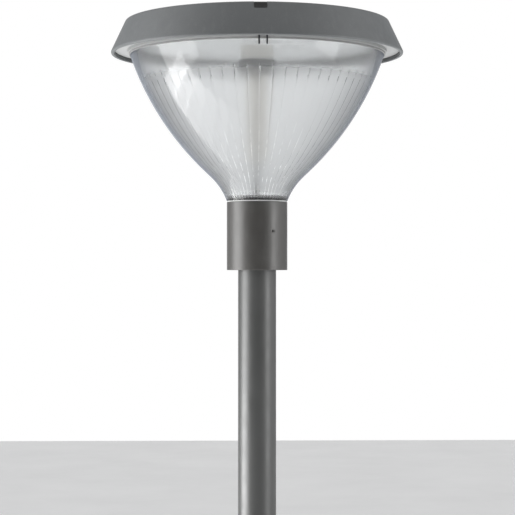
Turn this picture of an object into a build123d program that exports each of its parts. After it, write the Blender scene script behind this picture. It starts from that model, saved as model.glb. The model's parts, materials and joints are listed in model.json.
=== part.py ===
from build123d import *

# Post-top street lamp: a stepped tubular steel post that carries a clear fluted bowl under a hinged canopy.
# Millimetres. The origin is the centre of the base plate's underside, +Z is up and the latch faces -Y.

import os
from math import atan2, cos, degrees, radians, sin, sqrt

# ---------------------------------------------------------------- driving dimensions
# post
POST_HEIGHT = 3500.0  # top of the upper shaft above the base plate's underside
SHAFT_DIAMETER = 76.1
SHAFT_WALL = 3.2
BASE_DIAMETER = 139.7
BASE_WALL = 4.0
BASE_TOP = 1000.0  # where the base section ends and its shoulder starts
SHOULDER_HEIGHT = 62.0
SHOULDER_LAND = 12.0  # straight length that grips the shaft
SHOULDER_FIT = 0.2  # radial, round the shaft
SHAFT_INSERT = 150.0  # length of shaft that is held inside the base section
CENTRING_THICKNESS = 8.0
CENTRING_HEIGHT = 4.0  # above the shaft's foot
GROMMET_WALL = 2.5
GROMMET_LIP = 3.0  # below the shaft's foot
GROMMET_REACH = 8.0  # into the shaft
PLATE_SIDE = 320.0
PLATE_THICKNESS = 16.0
PLATE_CORNER = 22.0
PLATE_CHAMFER = 1.5
WELD_LEG = 6.0
ANCHOR_SPACING = 230.0
ANCHOR_HOLE_RADIUS = 11.0
CABLE_ENTRY_RADIUS = 45.0

# access door
DOOR_CENTRE = 600.0
DOOR_OPENING_HEIGHT = 400.0
DOOR_OPENING_WIDTH = 90.0
DOOR_GAP = 1.5
DOOR_CORNER = 12.0
FRAME_WALL = 3.8
FRAME_LIP = 7.0  # how far the frame reaches into the opening, as the door's seat
FRAME_BORDER = 8.0  # how far it reaches behind the wall around the opening
LOCK_RADIUS = 8.8
LOCK_WALL = 1.6
LOCK_RECESS = 8.0
LOCK_FLANGE = 4.0  # wider than the barrel by this much
LOCK_FLANGE_THICKNESS = 2.5
LOCK_SHANK_RADIUS = 5.0
LOCK_KEY_RADIUS = 5.2  # of the triangular head's corners
LOCK_NUT_RADIUS = 9.5
LOCK_NUT_HEIGHT = 7.0
LOCK_BAR_OVERLAP = 9.0  # how far the bar reaches behind the frame when it is turned
LOCK_BAR_WIDTH = 18.0
LOCK_BAR_THICKNESS = 5.0

# electrics in the base section
BOARD_WIDTH = 60.0
BOARD_THICKNESS = 5.0
BOARD_STANDOFF = 8.0
FUSE_BOX_WIDTH = 72.0
FUSE_BOX_HEIGHT = 108.0
FUSE_BOX_DEPTH = 52.0
FUSE_CARRIER_WIDTH = 24.0
FUSE_CARRIER_HEIGHT = 70.0
FUSE_CARRIER_DEPTH = 32.0
CARRIER_HANDLE = 8.0  # how far the handle of a carrier stands out of the box
CARRIER_GRIP = 44.0  # height of the handle
M8_RADIUS = 4.0
M8_NUT_RADIUS = 7.2
M8_NUT_HEIGHT = 6.0
STUD_MARGIN = 15.0  # from the board's ends
GLAND_NUT_RADIUS = 12.0
GLAND_NUT_HEIGHT = 6.0
GLAND_DOME_RADIUS = 9.5
GLAND_DOME_HEIGHT = 10.0
SUPPLY_GLAND_OFFSET = 16.0
LEAD_DIAMETER = 8.0
LEAD_BEND = 27.5  # radius of the lead's tight bends

# collar that carries the lantern
COLLAR_DIAMETER = 121.0
COLLAR_HEIGHT = 136.0
COLLAR_WALL = 4.0
SOCKET_DEPTH = 100.0
SOCKET_WALL = 6.5
SOCKET_DECK = 12.0
LEAD_HOLE_RADIUS = 18.0
CLAMP_SCREW_RADIUS = 4.0  # M8
CLAMP_SCREW_HEIGHT = 77.0
CLAMP_SCREW_COUNT = 3
CLAMP_SCREW_START = -60.0  # degrees from +X

# bowl
BOWL_HEIGHT = 292.0
BOWL_RIM_RADIUS = 253.5
BOWL_WALL = 3.0
BOWL_FLARE = 46.4  # degrees from vertical, the bowl's steepest stretch
NECK_HEIGHT = 50.0
NECK_FLARE_RADIUS = 92.4
FLARE_RUN = 19.0  # straight stretch between the neck's arc and the body's arc
NECK_SEAL = 2.0
NECK_FLANGE_WIDTH = 9.0
NECK_FLANGE_THICKNESS = 3.5
CLAMP_RING_WIDTH = 26.0
CLAMP_RING_THICKNESS = 6.0
NECK_SCREW_RADIUS = 2.5
NECK_SCREW_COUNT = 3
NECK_SCREW_START = 30.0  # degrees from +X
NECK_SCREW_LENGTH = 14.0  # below the collar's top

# ring on the bowl's rim
RING_PLATE = 3.0
RING_CHANNEL_WALL = 2.5
RING_CHANNEL_DEPTH = 9.0
RIM_SEAL = 2.5
RIM_SEAL_DROP = 3.5  # how far the seal shows below the channel
RING_GAP = 1.0  # between the ring and the canopy's hem

# canopy
CANOPY_OVERHANG = 38.0  # from the bowl's rim to the canopy's widest point
CANOPY_LEAN = 28.9  # how far its wall leans in, from the widest point to the roof edge
CANOPY_HEIGHT = 65.4  # hem to roof edge
CANOPY_DOME = 14.0
CANOPY_WALL = 2.5
HEM_WIDTH = 6.0
HEM_HEIGHT = 8.0
HEM_RISE = 2.0  # from the rim seal's foot up to the hem
CANOPY_CORNER = 6.0
HEM_LIP_RADIUS = 2.5

# hinge at the back of the canopy
HINGE_OFFSET = 7.5
HINGE_RADIUS = 5.5
HINGE_PIN_RADIUS = 3.0
HINGE_LEAF_WIDTH = 22.0
HINGE_LUG_WIDTH = 12.0
HINGE_SIDE_GAP = 0.5  # between a lug and the leaf's knuckle
LEAF_PAD_LOW = 9.0  # above the hinge pin
LEAF_PAD_HIGH = 40.0
LEAF_THICKNESS = 4.0
LEAF_SCREW_HEIGHT = 27.0
LEAF_SCREW_OFFSET = 14.0

# latch at the front of the canopy
LATCH_WIDTH = 25.0
LATCH_DEPTH = 13.0
LATCH_GAP = 0.4
LATCH_PLATE_DEPTH = 6.5  # from the canopy's outer face back to the lever's plate
LATCH_PLATE = 4.0
LATCH_BARREL_RADIUS = 3.6
LATCH_PIN_RADIUS = 1.5
LATCH_EAR = 2.5
PRONG_SPACING = 14.8
PRONG_OFFSET = 4.8  # the prongs sit to one side of the lever's middle
PRONG_WIDTH = 3.0
PRONG_DROP = 11.0  # below the rim seal
PRONG_GAP = 2.0  # from the ring's channel
PRONG_THICKNESS = 2.4
PRONG_SLOT = 11.0  # how far the ring's slots for the prongs reach out from its channel

# gear tray, lamp and lampholder
TRAY_GAP = 0.6  # from the tray's edge to the roof edge's radius
TRAY_THICKNESS = 2.0
SEAL_HEIGHT = 3.0
HOLDER_RADIUS = 33.0
HOLDER_HEIGHT = 43.0
HOLDER_DROP = 28.0  # below the tray's underside
HOLDER_FLANGE = 7.0  # wider than the body by this much, on the tray
HOLDER_FLANGE_THICKNESS = 4.0
SHROUD_RADIUS = 38.0
SHROUD_HEIGHT = 27.0
SHROUD_WALL = 3.0
CAP_RADIUS = 19.5
CAP_HEIGHT = 38.0
BULB_RADIUS = 23.0
BULB_LENGTH = 190.0
BULB_WALL = 1.2
BULB_NECK = 15.5
CAP_GRIP = 18.0  # length of the bulb's neck that is held in the cap
CAP_PITCH = 6.35
CAP_RIDGE = 0.9
CAP_RIDGES = 4
STEM_RADIUS = 6.0
STEM_DROP = 46.0  # below the cap
BURNER_RADIUS = 4.2
BURNER_MARGIN = 46.0  # above the bulb's foot
WIRE_RADIUS = 0.8
WIRE_OFFSET = 9.0
SPACER_CIRCLE = 190.0  # radius of the circle of posts between tray and roof
SPACER_RADIUS = 7.0
SPACER_ANGLES = (40, 140, 220, 320)
TRAY_SCREW_RADIUS = 6.0
TRAY_SCREW_HEIGHT = 2.6
GEAR_OFFSET = 120.0  # of the ballast to the left and of the rest to the right
BALLAST_WIDTH = 66.0
BALLAST_LENGTH = 130.0
BALLAST_HEIGHT = 38.0
IGNITOR_SIZE = (40.0, 76.0, 32.0)
IGNITOR_Y = 60.0
CAPACITOR_RADIUS = 17.0
CAPACITOR_LENGTH = 88.0
CAPACITOR_Y = -20.0  # its end nearest the ignitor
CLIP_WIDTH = 14.0
TERMINAL_SIZE = (62.0, 22.0, 20.0)
TERMINAL_Y = 105.0
TERMINAL_COUNT = 5
TERMINAL_PITCH = 12.0
CONDUIT_RADIUS = 6.0
CONDUIT_FOOT_OFFSET = 41.0  # where it passes the clamp ring
CONDUIT_OFFSET = 60.0  # where it meets the socket
SOCKET_RADIUS = 9.5
SOCKET_HEIGHT = 16.0
CONTACT_CIRCLE = 4.6
CONTACT_HOLE_RADIUS = 2.2
CONTACT_PIN_RADIUS = 1.2
CONTACT_DEPTH = 9.0

# clearances
SEAT_GAP = 0.3  # between bodies that rest on each other
PIN_GAP = 0.05  # radial, for a pin in its hole
LOCATING_GAP = 0.35  # radial, for a tube in its socket

# ---------------------------------------------------------------- places worked out from them
base_radius = BASE_DIAMETER / 2
base_bore = base_radius - BASE_WALL
shaft_radius = SHAFT_DIAMETER / 2
shaft_bore = shaft_radius - SHAFT_WALL
shaft_foot = BASE_TOP - SHAFT_INSERT

frame_outer = base_bore - SEAT_GAP
frame_inner = frame_outer - FRAME_WALL
bar_half = DOOR_OPENING_WIDTH / 2 - FRAME_LIP + LOCK_BAR_OVERLAP
bar_front = -(sqrt(frame_inner**2 - bar_half**2) - 1.0)  # y of the bar's front face

board_back = sqrt(base_bore**2 - (BOARD_WIDTH / 2) ** 2) - BOARD_STANDOFF
board_front = board_back - BOARD_THICKNESS
board_low = DOOR_CENTRE - DOOR_OPENING_HEIGHT / 2 + 10
board_high = DOOR_CENTRE + DOOR_OPENING_HEIGHT / 2 - 10
fuse_box_top = DOOR_CENTRE - bar_half - 8
fuse_box_low = fuse_box_top - FUSE_BOX_HEIGHT
fuse_box_front = board_front - FUSE_BOX_DEPTH
lead_y = board_front - FUSE_BOX_DEPTH / 2

collar_low = POST_HEIGHT - SOCKET_DEPTH
collar_top = collar_low + COLLAR_HEIGHT
collar_radius = COLLAR_DIAMETER / 2
socket_bore = shaft_radius + LOCATING_GAP
socket_outer = socket_bore + SOCKET_WALL

bowl_foot = collar_top + NECK_SEAL
rim_low = collar_top + BOWL_HEIGHT  # where the bowl meets its rim seal
neck_inner = collar_radius - BOWL_WALL - NECK_FLANGE_WIDTH

canopy_radius = BOWL_RIM_RADIUS + CANOPY_OVERHANG
canopy_top_radius = canopy_radius - CANOPY_LEAN
tray_radius = canopy_top_radius - TRAY_GAP

hem_low = rim_low + HEM_RISE
ring_low = hem_low + HEM_HEIGHT
ring_high = ring_low + RING_PLATE
channel_inner = BOWL_RIM_RADIUS - BOWL_WALL - RIM_SEAL
channel_outer = BOWL_RIM_RADIUS + RIM_SEAL
ring_radius = canopy_radius - HEM_WIDTH - RING_GAP
channel_top = ring_high + RING_PLATE
bowl_top = channel_top - RING_PLATE - RIM_SEAL

wide_height = hem_low + HEM_HEIGHT / 2  # where the canopy is widest
roof_edge = hem_low + CANOPY_HEIGHT
wall_slope = CANOPY_LEAN / (roof_edge - wide_height)
wall_angle = degrees(atan2(wall_slope, 1))

hinge_y = canopy_radius + HINGE_OFFSET
hinge_z = wide_height

tray_low = channel_top + SEAL_HEIGHT + SEAT_GAP
tray_top = tray_low + TRAY_THICKNESS
holder_low = tray_low - HOLDER_DROP
shroud_low = holder_low - SHROUD_HEIGHT
bulb_low = shroud_low + 8 - BULB_LENGTH
socket_top = tray_low - 9
socket_low = socket_top - SOCKET_HEIGHT


# ---------------------------------------------------------------- helpers
def tube(outer, inner, low, high):
    """A round tube on the Z axis between two heights."""
    ring = Circle(outer) - Circle(inner)
    return Pos(0, 0, low) * extrude(ring, high - low)


def rod(radius, low, high, x=0.0, y=0.0):
    """A round bar along Z."""
    return Pos(x, y, low) * extrude(Circle(radius), high - low)


def rod_x(radius, x_low, x_high, y, z):
    """A round bar along X."""
    return Pos(x_low, y, z) * Rot(0, 90, 0) * extrude(Circle(radius), x_high - x_low)


def rod_y(radius, y_low, y_high, x, z):
    """A round bar along Y."""
    return Pos(x, y_high, z) * Rot(90, 0, 0) * extrude(Circle(radius), y_high - y_low)


def block(x_size, y_low, y_high, z_low, z_high, x=0.0):
    """A box that is centred on x and lies between two y and two z values."""
    centre = Pos(x, (y_low + y_high) / 2, (z_low + z_high) / 2)
    return centre * Box(x_size, y_high - y_low, z_high - z_low)


def lathe(*edges):
    """Turns a closed outline, drawn as radius and height, about the Z axis."""
    outline = make_face(Curve() + list(edges))
    return revolve(Plane.XZ * outline, Axis.Z)


def lathe_points(*points):
    """Turns a closed polygon of (radius, height) points about the Z axis."""
    return revolve(Plane.XZ * make_face(Polyline(*points, close=True)), Axis.Z)


def side_plate(points, width, x=0.0):
    """A plate whose outline lies in the YZ plane, centred on x."""
    outline = make_face(Polyline(*points, close=True))
    return Pos(x, 0, 0) * extrude(Plane.YZ * outline, width / 2, both=True)


def around(shape, count, start=0.0):
    """Copies of a shape that is drawn along +X, turned about the Z axis."""
    return [Rot(0, 0, start + i * 360 / count) * shape for i in range(count)]


def rounded_window(width, height, corner, y_low, y_high):
    """A rounded prism along Y, centred on the door's height."""
    outline = RectangleRounded(width, height, corner)
    return Pos(0, y_low, DOOR_CENTRE) * Rot(-90, 0, 0) * extrude(outline, y_high - y_low)


# ---------------------------------------------------------------- post
def base_plate():
    plate = extrude(RectangleRounded(PLATE_SIDE, PLATE_SIDE, PLATE_CORNER), PLATE_THICKNESS)
    plate = chamfer(plate.edges().group_by(Axis.Z)[-1], PLATE_CHAMFER)
    holes = GridLocations(ANCHOR_SPACING, ANCHOR_SPACING, 2, 2) * Cylinder(
        ANCHOR_HOLE_RADIUS, PLATE_THICKNESS * 3
    )
    return plate - holes - Cylinder(CABLE_ENTRY_RADIUS, PLATE_THICKNESS * 3)


def lower_shaft():
    shaft = tube(base_radius, base_bore, PLATE_THICKNESS, BASE_TOP)
    window = rounded_window(
        DOOR_OPENING_WIDTH, DOOR_OPENING_HEIGHT, DOOR_CORNER, -base_radius * 1.2, -base_radius * 0.2
    )
    return shaft - window


def base_weld():
    """Fillet weld between the base section and its plate."""
    return lathe_points(
        (base_radius, PLATE_THICKNESS),
        (base_radius + WELD_LEG, PLATE_THICKNESS),
        (base_radius, PLATE_THICKNESS + WELD_LEG),
    )


def swaged_shoulder():
    top = BASE_TOP + SHOULDER_HEIGHT
    inner_top = shaft_radius + SHOULDER_FIT
    outer_top = inner_top + BASE_WALL
    land = SHOULDER_LAND
    bend = base_radius - 2 * BASE_WALL
    return lathe_points(
        (base_radius, BASE_TOP),
        (bend + 6.6, BASE_TOP + 5),
        (bend + 3, BASE_TOP + 9),
        (outer_top + 2.4, top - land - 3),
        (outer_top, top - land + 2),
        (outer_top, top - 1),
        (outer_top - 1, top),
        (inner_top, top),
        (inner_top, top - land),
        (bend - 1.5, BASE_TOP + 7),
        (base_bore, BASE_TOP),
    )


def centring_ring():
    low = shaft_foot + CENTRING_HEIGHT
    return tube(base_bore - SHOULDER_FIT, shaft_radius + SHOULDER_FIT, low, low + CENTRING_THICKNESS)


def upper_shaft():
    return tube(shaft_radius, shaft_bore, shaft_foot, POST_HEIGHT)


def shaft_grommet():
    """Rubber edging on the shaft's foot, where the lead goes in."""
    low = shaft_foot - GROMMET_LIP
    lip = shaft_bore - GROMMET_WALL
    return lathe_points(
        (shaft_radius - 0.4, low),
        (shaft_radius - 0.4, shaft_foot),
        (shaft_bore, shaft_foot),
        (shaft_bore, shaft_foot + GROMMET_REACH),
        (lip, shaft_foot + GROMMET_REACH),
        (lip, low),
    )


# ---------------------------------------------------------------- access door
def door_frame():
    low = DOOR_CENTRE - DOOR_OPENING_HEIGHT / 2 - FRAME_BORDER
    high = DOOR_CENTRE + DOOR_OPENING_HEIGHT / 2 + FRAME_BORDER
    shell = tube(frame_outer, frame_inner, low, high)
    shell &= block(DOOR_OPENING_WIDTH + 2 * FRAME_BORDER, -base_radius, 0, low, high)
    window = rounded_window(
        DOOR_OPENING_WIDTH - 2 * FRAME_LIP,
        DOOR_OPENING_HEIGHT - 2 * FRAME_LIP,
        DOOR_CORNER - 4,
        -base_radius,
        0,
    )
    return shell - window


def access_door():
    low = DOOR_CENTRE - DOOR_OPENING_HEIGHT / 2
    high = DOOR_CENTRE + DOOR_OPENING_HEIGHT / 2
    shell = tube(base_radius, base_bore, low, high)
    shell &= rounded_window(
        DOOR_OPENING_WIDTH - 2 * DOOR_GAP,
        DOOR_OPENING_HEIGHT - 2 * DOOR_GAP,
        DOOR_CORNER - DOOR_GAP,
        -base_radius * 1.2,
        -base_radius * 0.2,
    )
    return shell - rod_y(LOCK_RADIUS + 2 * PIN_GAP, -base_radius * 1.2, 0, 0, DOOR_CENTRE)


def lock_bolt():
    """Barrel with a triangular key head in its recess, and the shank that carries the bar."""
    face = -base_radius + 0.6
    flange_radius = LOCK_RADIUS + LOCK_FLANGE
    flange_front = -base_bore + flange_radius**2 / (2 * base_bore) + 0.25
    flange_back = flange_front + LOCK_FLANGE_THICKNESS
    floor = face + LOCK_RECESS
    barrel = rod_y(LOCK_RADIUS, face, flange_front, 0, DOOR_CENTRE)
    recess = rod_y(LOCK_RADIUS - LOCK_WALL, face - 1, floor, 0, DOOR_CENTRE)
    triangle = RegularPolygon(LOCK_KEY_RADIUS, 3)
    head = Pos(0, floor, DOOR_CENTRE) * Rot(90, 0, 0) * extrude(triangle, LOCK_RECESS - 2)
    head = fillet(head.edges().filter_by(Axis.Y), 0.6)
    flange = rod_y(flange_radius, flange_front, flange_back, 0, DOOR_CENTRE)
    shank_end = bar_front + LOCK_BAR_THICKNESS + LOCK_NUT_HEIGHT + 2
    shank = rod_y(LOCK_SHANK_RADIUS, flange_back, shank_end, 0, DOOR_CENTRE)
    return (barrel - recess) + head + flange + shank


def lock_bar():
    bar_back = bar_front + LOCK_BAR_THICKNESS
    bar = block(LOCK_BAR_WIDTH, bar_front, bar_back, DOOR_CENTRE - bar_half, DOOR_CENTRE + bar_half)
    bar = fillet(bar.edges().filter_by(Axis.Y), 4)
    return bar - rod_y(LOCK_SHANK_RADIUS + PIN_GAP, bar_front - 1, bar_back + 1, 0, DOOR_CENTRE)


def lock_nut():
    front = bar_front + LOCK_BAR_THICKNESS
    back = front + LOCK_NUT_HEIGHT
    hexagon = RegularPolygon(LOCK_NUT_RADIUS, 6)
    nut = Pos(0, back, DOOR_CENTRE) * Rot(90, 0, 0) * extrude(hexagon, LOCK_NUT_HEIGHT)
    return nut - rod_y(LOCK_SHANK_RADIUS + PIN_GAP, front - 1, back + 1, 0, DOOR_CENTRE)


# ---------------------------------------------------------------- electrics in the base section
def backboard():
    return block(BOARD_WIDTH, board_front, board_back, board_low, board_high)


def board_studs():
    """Two studs that are welded to the tube and carry the board, each with its nut."""
    studs = []
    for z in (board_low + STUD_MARGIN, board_high - STUD_MARGIN):
        foot = rod_y(M8_NUT_RADIUS, board_back, base_bore - 0.6, 0, z)
        screw = rod_y(M8_RADIUS, board_front - M8_NUT_HEIGHT - 3, board_front, 0, z)
        studs.append(foot)
        studs.append(screw + m8_nut(0, board_front, z))
    return Compound(children=studs)


def m8_nut(x, back, z):
    """A nut on the board's front, from its back face forwards."""
    return Pos(x, back, z) * Rot(90, 0, 0) * extrude(RegularPolygon(M8_NUT_RADIUS, 6), M8_NUT_HEIGHT)


def fuse_slots():
    """The x of each fuse carrier."""
    pitch = FUSE_BOX_WIDTH / 2 - 3
    return (-pitch / 2, pitch / 2)


def fuse_box():
    body = block(FUSE_BOX_WIDTH, fuse_box_front, board_front, fuse_box_low, fuse_box_top)
    body = fillet(body.edges().filter_by(Axis.Y), 4)
    middle = (fuse_box_low + fuse_box_top) / 2
    for x in fuse_slots():
        body -= block(
            FUSE_CARRIER_WIDTH + 2 * SEAT_GAP,
            fuse_box_front - 1,
            fuse_box_front + FUSE_CARRIER_DEPTH + 2,
            middle - FUSE_CARRIER_HEIGHT / 2 - SEAT_GAP,
            middle + FUSE_CARRIER_HEIGHT / 2 + SEAT_GAP,
            x,
        )
    return body


def fuse_carrier(x):
    """A block with a ribbed finger grip."""
    middle = (fuse_box_low + fuse_box_top) / 2
    low, high = middle - FUSE_CARRIER_HEIGHT / 2, middle + FUSE_CARRIER_HEIGHT / 2
    front = fuse_box_front - CARRIER_HANDLE
    grip_low, grip_high = middle - CARRIER_GRIP / 2, middle + CARRIER_GRIP / 2
    body = block(FUSE_CARRIER_WIDTH, fuse_box_front, fuse_box_front + FUSE_CARRIER_DEPTH, low, high, x)
    grip = block(FUSE_CARRIER_WIDTH - 6, front, fuse_box_front, grip_low, grip_high, x)
    grip = fillet(grip.edges().filter_by(Axis.Y), 3)
    for step in (-9, -1, 7):
        grip -= block(FUSE_CARRIER_WIDTH, front - 1, front + 2, middle + step, middle + step + 2, x)
    return body + grip


def glands():
    """Cable glands on the top of the fuse box for the lantern's lead, and below it for the supply."""
    parts = []
    nut = extrude(RegularPolygon(GLAND_NUT_RADIUS, 6), GLAND_NUT_HEIGHT)
    dome = Pos(0, 0, GLAND_NUT_HEIGHT) * extrude(Circle(GLAND_DOME_RADIUS), GLAND_DOME_HEIGHT, taper=14)
    gland = nut + dome - rod(LEAD_DIAMETER / 2 + SEAT_GAP, -1, GLAND_NUT_HEIGHT + GLAND_DOME_HEIGHT + 1)
    parts.append(Pos(0, lead_y, fuse_box_top) * gland)
    for x in (-SUPPLY_GLAND_OFFSET, SUPPLY_GLAND_OFFSET):
        parts.append(Pos(x, lead_y, fuse_box_low) * Rot(180, 0, 0) * gland)
    return Compound(children=parts)


def earth_stud():
    x, z = BOARD_WIDTH / 2 - 10, board_high - 4 * STUD_MARGIN
    washer_front = board_front - 1.5
    washer = rod_y(M8_NUT_RADIUS + 1.8, washer_front, board_front, x, z)
    screw = rod_y(M8_RADIUS, board_front - 18, washer_front, x, z)
    return washer + m8_nut(x, washer_front, z) + screw


def conduit_corners():
    """Corners of the conduit's route above the clamp ring."""
    return [
        (0, CONDUIT_FOOT_OFFSET, collar_top + 34),
        (0, CONDUIT_OFFSET, collar_top + 62),
        (0, CONDUIT_OFFSET, socket_low),
    ]


def lantern_lead():
    """Sheathed cable from the fuse box, up the middle of the shaft and through the conduit to the socket."""
    route = [
        (0, lead_y, fuse_box_top + 6),
        (0, lead_y, board_high - 18),
        (0, 0, shaft_foot - 12),
        (0, 0, POST_HEIGHT + 13.3),
        (0, CONDUIT_FOOT_OFFSET, POST_HEIGHT + 25),
        *conduit_corners(),
    ]
    path = FilletPolyline(*route, radius=LEAD_BEND)
    section = Circle(LEAD_DIAMETER / 2)
    cable = sweep(Plane(origin=route[0], z_dir=(0, 0, 1)) * section, path)
    print("lead bends", LEAD_BEND, "length", round(path.length, 1))
    print("lead volume over section times length", round(cable.volume / (path.length * section.area), 6))
    return cable


# ---------------------------------------------------------------- collar
def post_collar():
    outer = rod(collar_radius, collar_low, collar_top)
    outer = fillet(outer.edges().filter_by(GeomType.CIRCLE), 1.0)
    deck_low = POST_HEIGHT + 0.2
    pocket = tube(
        collar_radius - COLLAR_WALL, socket_outer, collar_low - 1, POST_HEIGHT - SOCKET_DECK
    )
    socket = rod(socket_bore, collar_low - 1, deck_low)
    chamber = rod(neck_inner - 3, deck_low + SOCKET_DECK, collar_top + 1)
    lead_hole = rod(LEAD_HOLE_RADIUS, deck_low - 1, deck_low + SOCKET_DECK + 1)
    body = outer - pocket - socket - chamber - lead_hole
    z = collar_low + CLAMP_SCREW_HEIGHT
    boss = Pos(socket_bore + 1, 0, z) * Rot(0, 90, 0) * extrude(
        Circle(CLAMP_SCREW_RADIUS * 2.2), collar_radius - COLLAR_WALL - socket_bore
    )
    rib = Pos((socket_outer + collar_radius - COLLAR_WALL) / 2, 0, (collar_low + POST_HEIGHT) / 2) * Box(
        collar_radius - COLLAR_WALL - socket_outer + 2, 4, SOCKET_DEPTH - 20
    )
    hole = Rot(0, 90, 0) * extrude(Circle(CLAMP_SCREW_RADIUS + PIN_GAP), collar_radius + 1)
    hole = Pos(0, 0, z) * hole
    body += around(boss, CLAMP_SCREW_COUNT, CLAMP_SCREW_START)
    body += around(rib, CLAMP_SCREW_COUNT, CLAMP_SCREW_START + 60)
    body -= around(hole, CLAMP_SCREW_COUNT, CLAMP_SCREW_START)
    hole_low = collar_top - NECK_SCREW_LENGTH - 2
    screw = rod(NECK_SCREW_RADIUS + PIN_GAP, hole_low, collar_top + 1, x=neck_screw_circle())
    return body - around(screw, NECK_SCREW_COUNT, NECK_SCREW_START)


def clamp_screws():
    tip, head = shaft_radius + 0.1, collar_radius - 0.8
    screw = Pos(tip, 0, 0) * Rot(0, 90, 0) * extrude(Circle(CLAMP_SCREW_RADIUS), head - tip)
    key = Pos(head - 4.5, 0, 0) * Rot(0, 90, 0) * extrude(RegularPolygon(2.3, 6), 5)
    screw = Pos(0, 0, collar_low + CLAMP_SCREW_HEIGHT) * (screw - key)
    return Compound(children=around(screw, CLAMP_SCREW_COUNT, CLAMP_SCREW_START))


def neck_screw_circle():
    """Radius of the circle that the clamp ring's screws lie on, inside the bowl's flange."""
    return neck_inner - NECK_SCREW_RADIUS - 0.4


# ---------------------------------------------------------------- bowl
def bowl_outline(inset):
    """The bowl's profile, moved in by inset along its normals: (points, chord tangents) from foot to rim."""
    flare = radians(BOWL_FLARE)
    neck_foot = (collar_radius, bowl_foot)
    neck_end = (NECK_FLARE_RADIUS, collar_top + NECK_HEIGHT)
    body_start = (neck_end[0] + FLARE_RUN * sin(flare), neck_end[1] + FLARE_RUN * cos(flare))
    rim = (BOWL_RIM_RADIUS, rim_low)

    def end_angle(a, b, angle):
        """An arc that passes a at this angle from vertical has this angle at b."""
        return 2 * atan2(b[0] - a[0], b[1] - a[1]) - angle

    def moved(point, angle):
        return (point[0] - inset * cos(angle), point[1] + inset * sin(angle))

    foot_angle = end_angle(neck_foot, neck_end, flare)
    rim_angle = end_angle(body_start, rim, flare)
    a, b = moved(neck_foot, foot_angle), moved(neck_end, flare)
    c, d = moved(body_start, flare), moved(rim, rim_angle)
    return a, b, c, d, (sin(flare), cos(flare)), rim_angle


def bowl_edges(inset):
    """The profile as edges: neck arc, straight flare and body arc."""
    a, b, c, d, direction, _ = bowl_outline(inset)
    back = (-direction[0], -direction[1])
    return TangentArc(b, a, tangent=back), Line(b, c), TangentArc(c, d, tangent=direction)


def bowl():
    """Clear shell with an inward flange at its neck and a plain edge at its rim."""
    outer_foot, _, _, outer_rim, _, _ = bowl_outline(0)
    inner_foot, _, _, inner_rim, _, _ = bowl_outline(BOWL_WALL)
    rim_radius = BOWL_RIM_RADIUS
    shelf = bowl_foot + NECK_FLANGE_THICKNESS
    wall_at_shelf = (collar_radius - BOWL_WALL + 1.5, shelf)
    edges = [
        *bowl_edges(0),
        Line(outer_rim, (rim_radius, bowl_top)),
        Line((rim_radius, bowl_top), (inner_rim[0], bowl_top)),
        Line((inner_rim[0], bowl_top), inner_rim),
        *bowl_edges(BOWL_WALL),
        Line(inner_foot, (inner_foot[0], bowl_foot)),
        Line((inner_foot[0], bowl_foot), outer_foot),
    ]
    shell = lathe(*edges)
    flange = tube(wall_at_shelf[0], neck_inner, bowl_foot, shelf)
    return shell + flange


def neck_seal():
    return tube(collar_radius - 0.6, neck_inner + 0.5, collar_top, bowl_foot)


def neck_clamp_ring():
    low = bowl_foot + NECK_FLANGE_THICKNESS
    outer = collar_radius - BOWL_WALL - 1.2
    ring = tube(outer, outer - CLAMP_RING_WIDTH, low, low + CLAMP_RING_THICKNESS)
    ring = chamfer(ring.edges().group_by(Axis.Z)[-1], 1.0)
    below, above = low - 1, low + CLAMP_RING_THICKNESS + 1
    screw = rod(NECK_SCREW_RADIUS + PIN_GAP, below, above, x=neck_screw_circle())
    ring -= around(screw, NECK_SCREW_COUNT, NECK_SCREW_START)
    return ring - rod(CONDUIT_RADIUS + PIN_GAP, below, above, y=CONDUIT_FOOT_OFFSET)


def neck_screws():
    low = bowl_foot + NECK_FLANGE_THICKNESS + CLAMP_RING_THICKNESS
    shank = rod(NECK_SCREW_RADIUS, collar_top - NECK_SCREW_LENGTH, low, x=neck_screw_circle())
    head = rod(NECK_SCREW_RADIUS * 1.8, low, low + 3.5, x=neck_screw_circle())
    head = fillet(head.edges().group_by(Axis.Z)[-1], 1.2)
    slot = Pos(neck_screw_circle(), 0, low + 1.5) * extrude(RegularPolygon(1.8, 6), 4)
    return Compound(children=around(shank + head - slot, NECK_SCREW_COUNT, NECK_SCREW_START))


def supply_conduit():
    """Steel tube that takes the supply from the collar to the socket under the tray."""
    low = bowl_foot + NECK_FLANGE_THICKNESS + 1.5
    foot = (0, CONDUIT_FOOT_OFFSET, low)
    path = FilletPolyline(foot, *conduit_corners(), radius=LEAD_BEND)
    start = Plane(origin=foot, z_dir=(0, 0, 1))
    pipe = sweep(start * (Circle(CONDUIT_RADIUS) - Circle(CONDUIT_RADIUS - 1)), path)
    nut_low = bowl_foot + NECK_FLANGE_THICKNESS + CLAMP_RING_THICKNESS
    nut = RegularPolygon(CONDUIT_RADIUS + 3.5, 6) - Circle(CONDUIT_RADIUS)
    return pipe + Pos(0, CONDUIT_FOOT_OFFSET, nut_low) * extrude(nut, 5)


# ---------------------------------------------------------------- connector between lantern and gear
def contact_places():
    """X and Y of the three contacts, on a circle about the conduit's axis."""
    angles = [radians(a) for a in (30, 150, 270)]
    return [(CONTACT_CIRCLE * cos(a), CONDUIT_OFFSET + CONTACT_CIRCLE * sin(a)) for a in angles]


def supply_socket():
    body = rod(SOCKET_RADIUS, socket_low, socket_top, y=CONDUIT_OFFSET)
    body = fillet(body.edges().group_by(Axis.Z)[0], 1.5)
    for x, y in contact_places():
        body -= rod(CONTACT_HOLE_RADIUS, socket_top - CONTACT_DEPTH, socket_top + 1, x, y)
    return body


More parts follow.
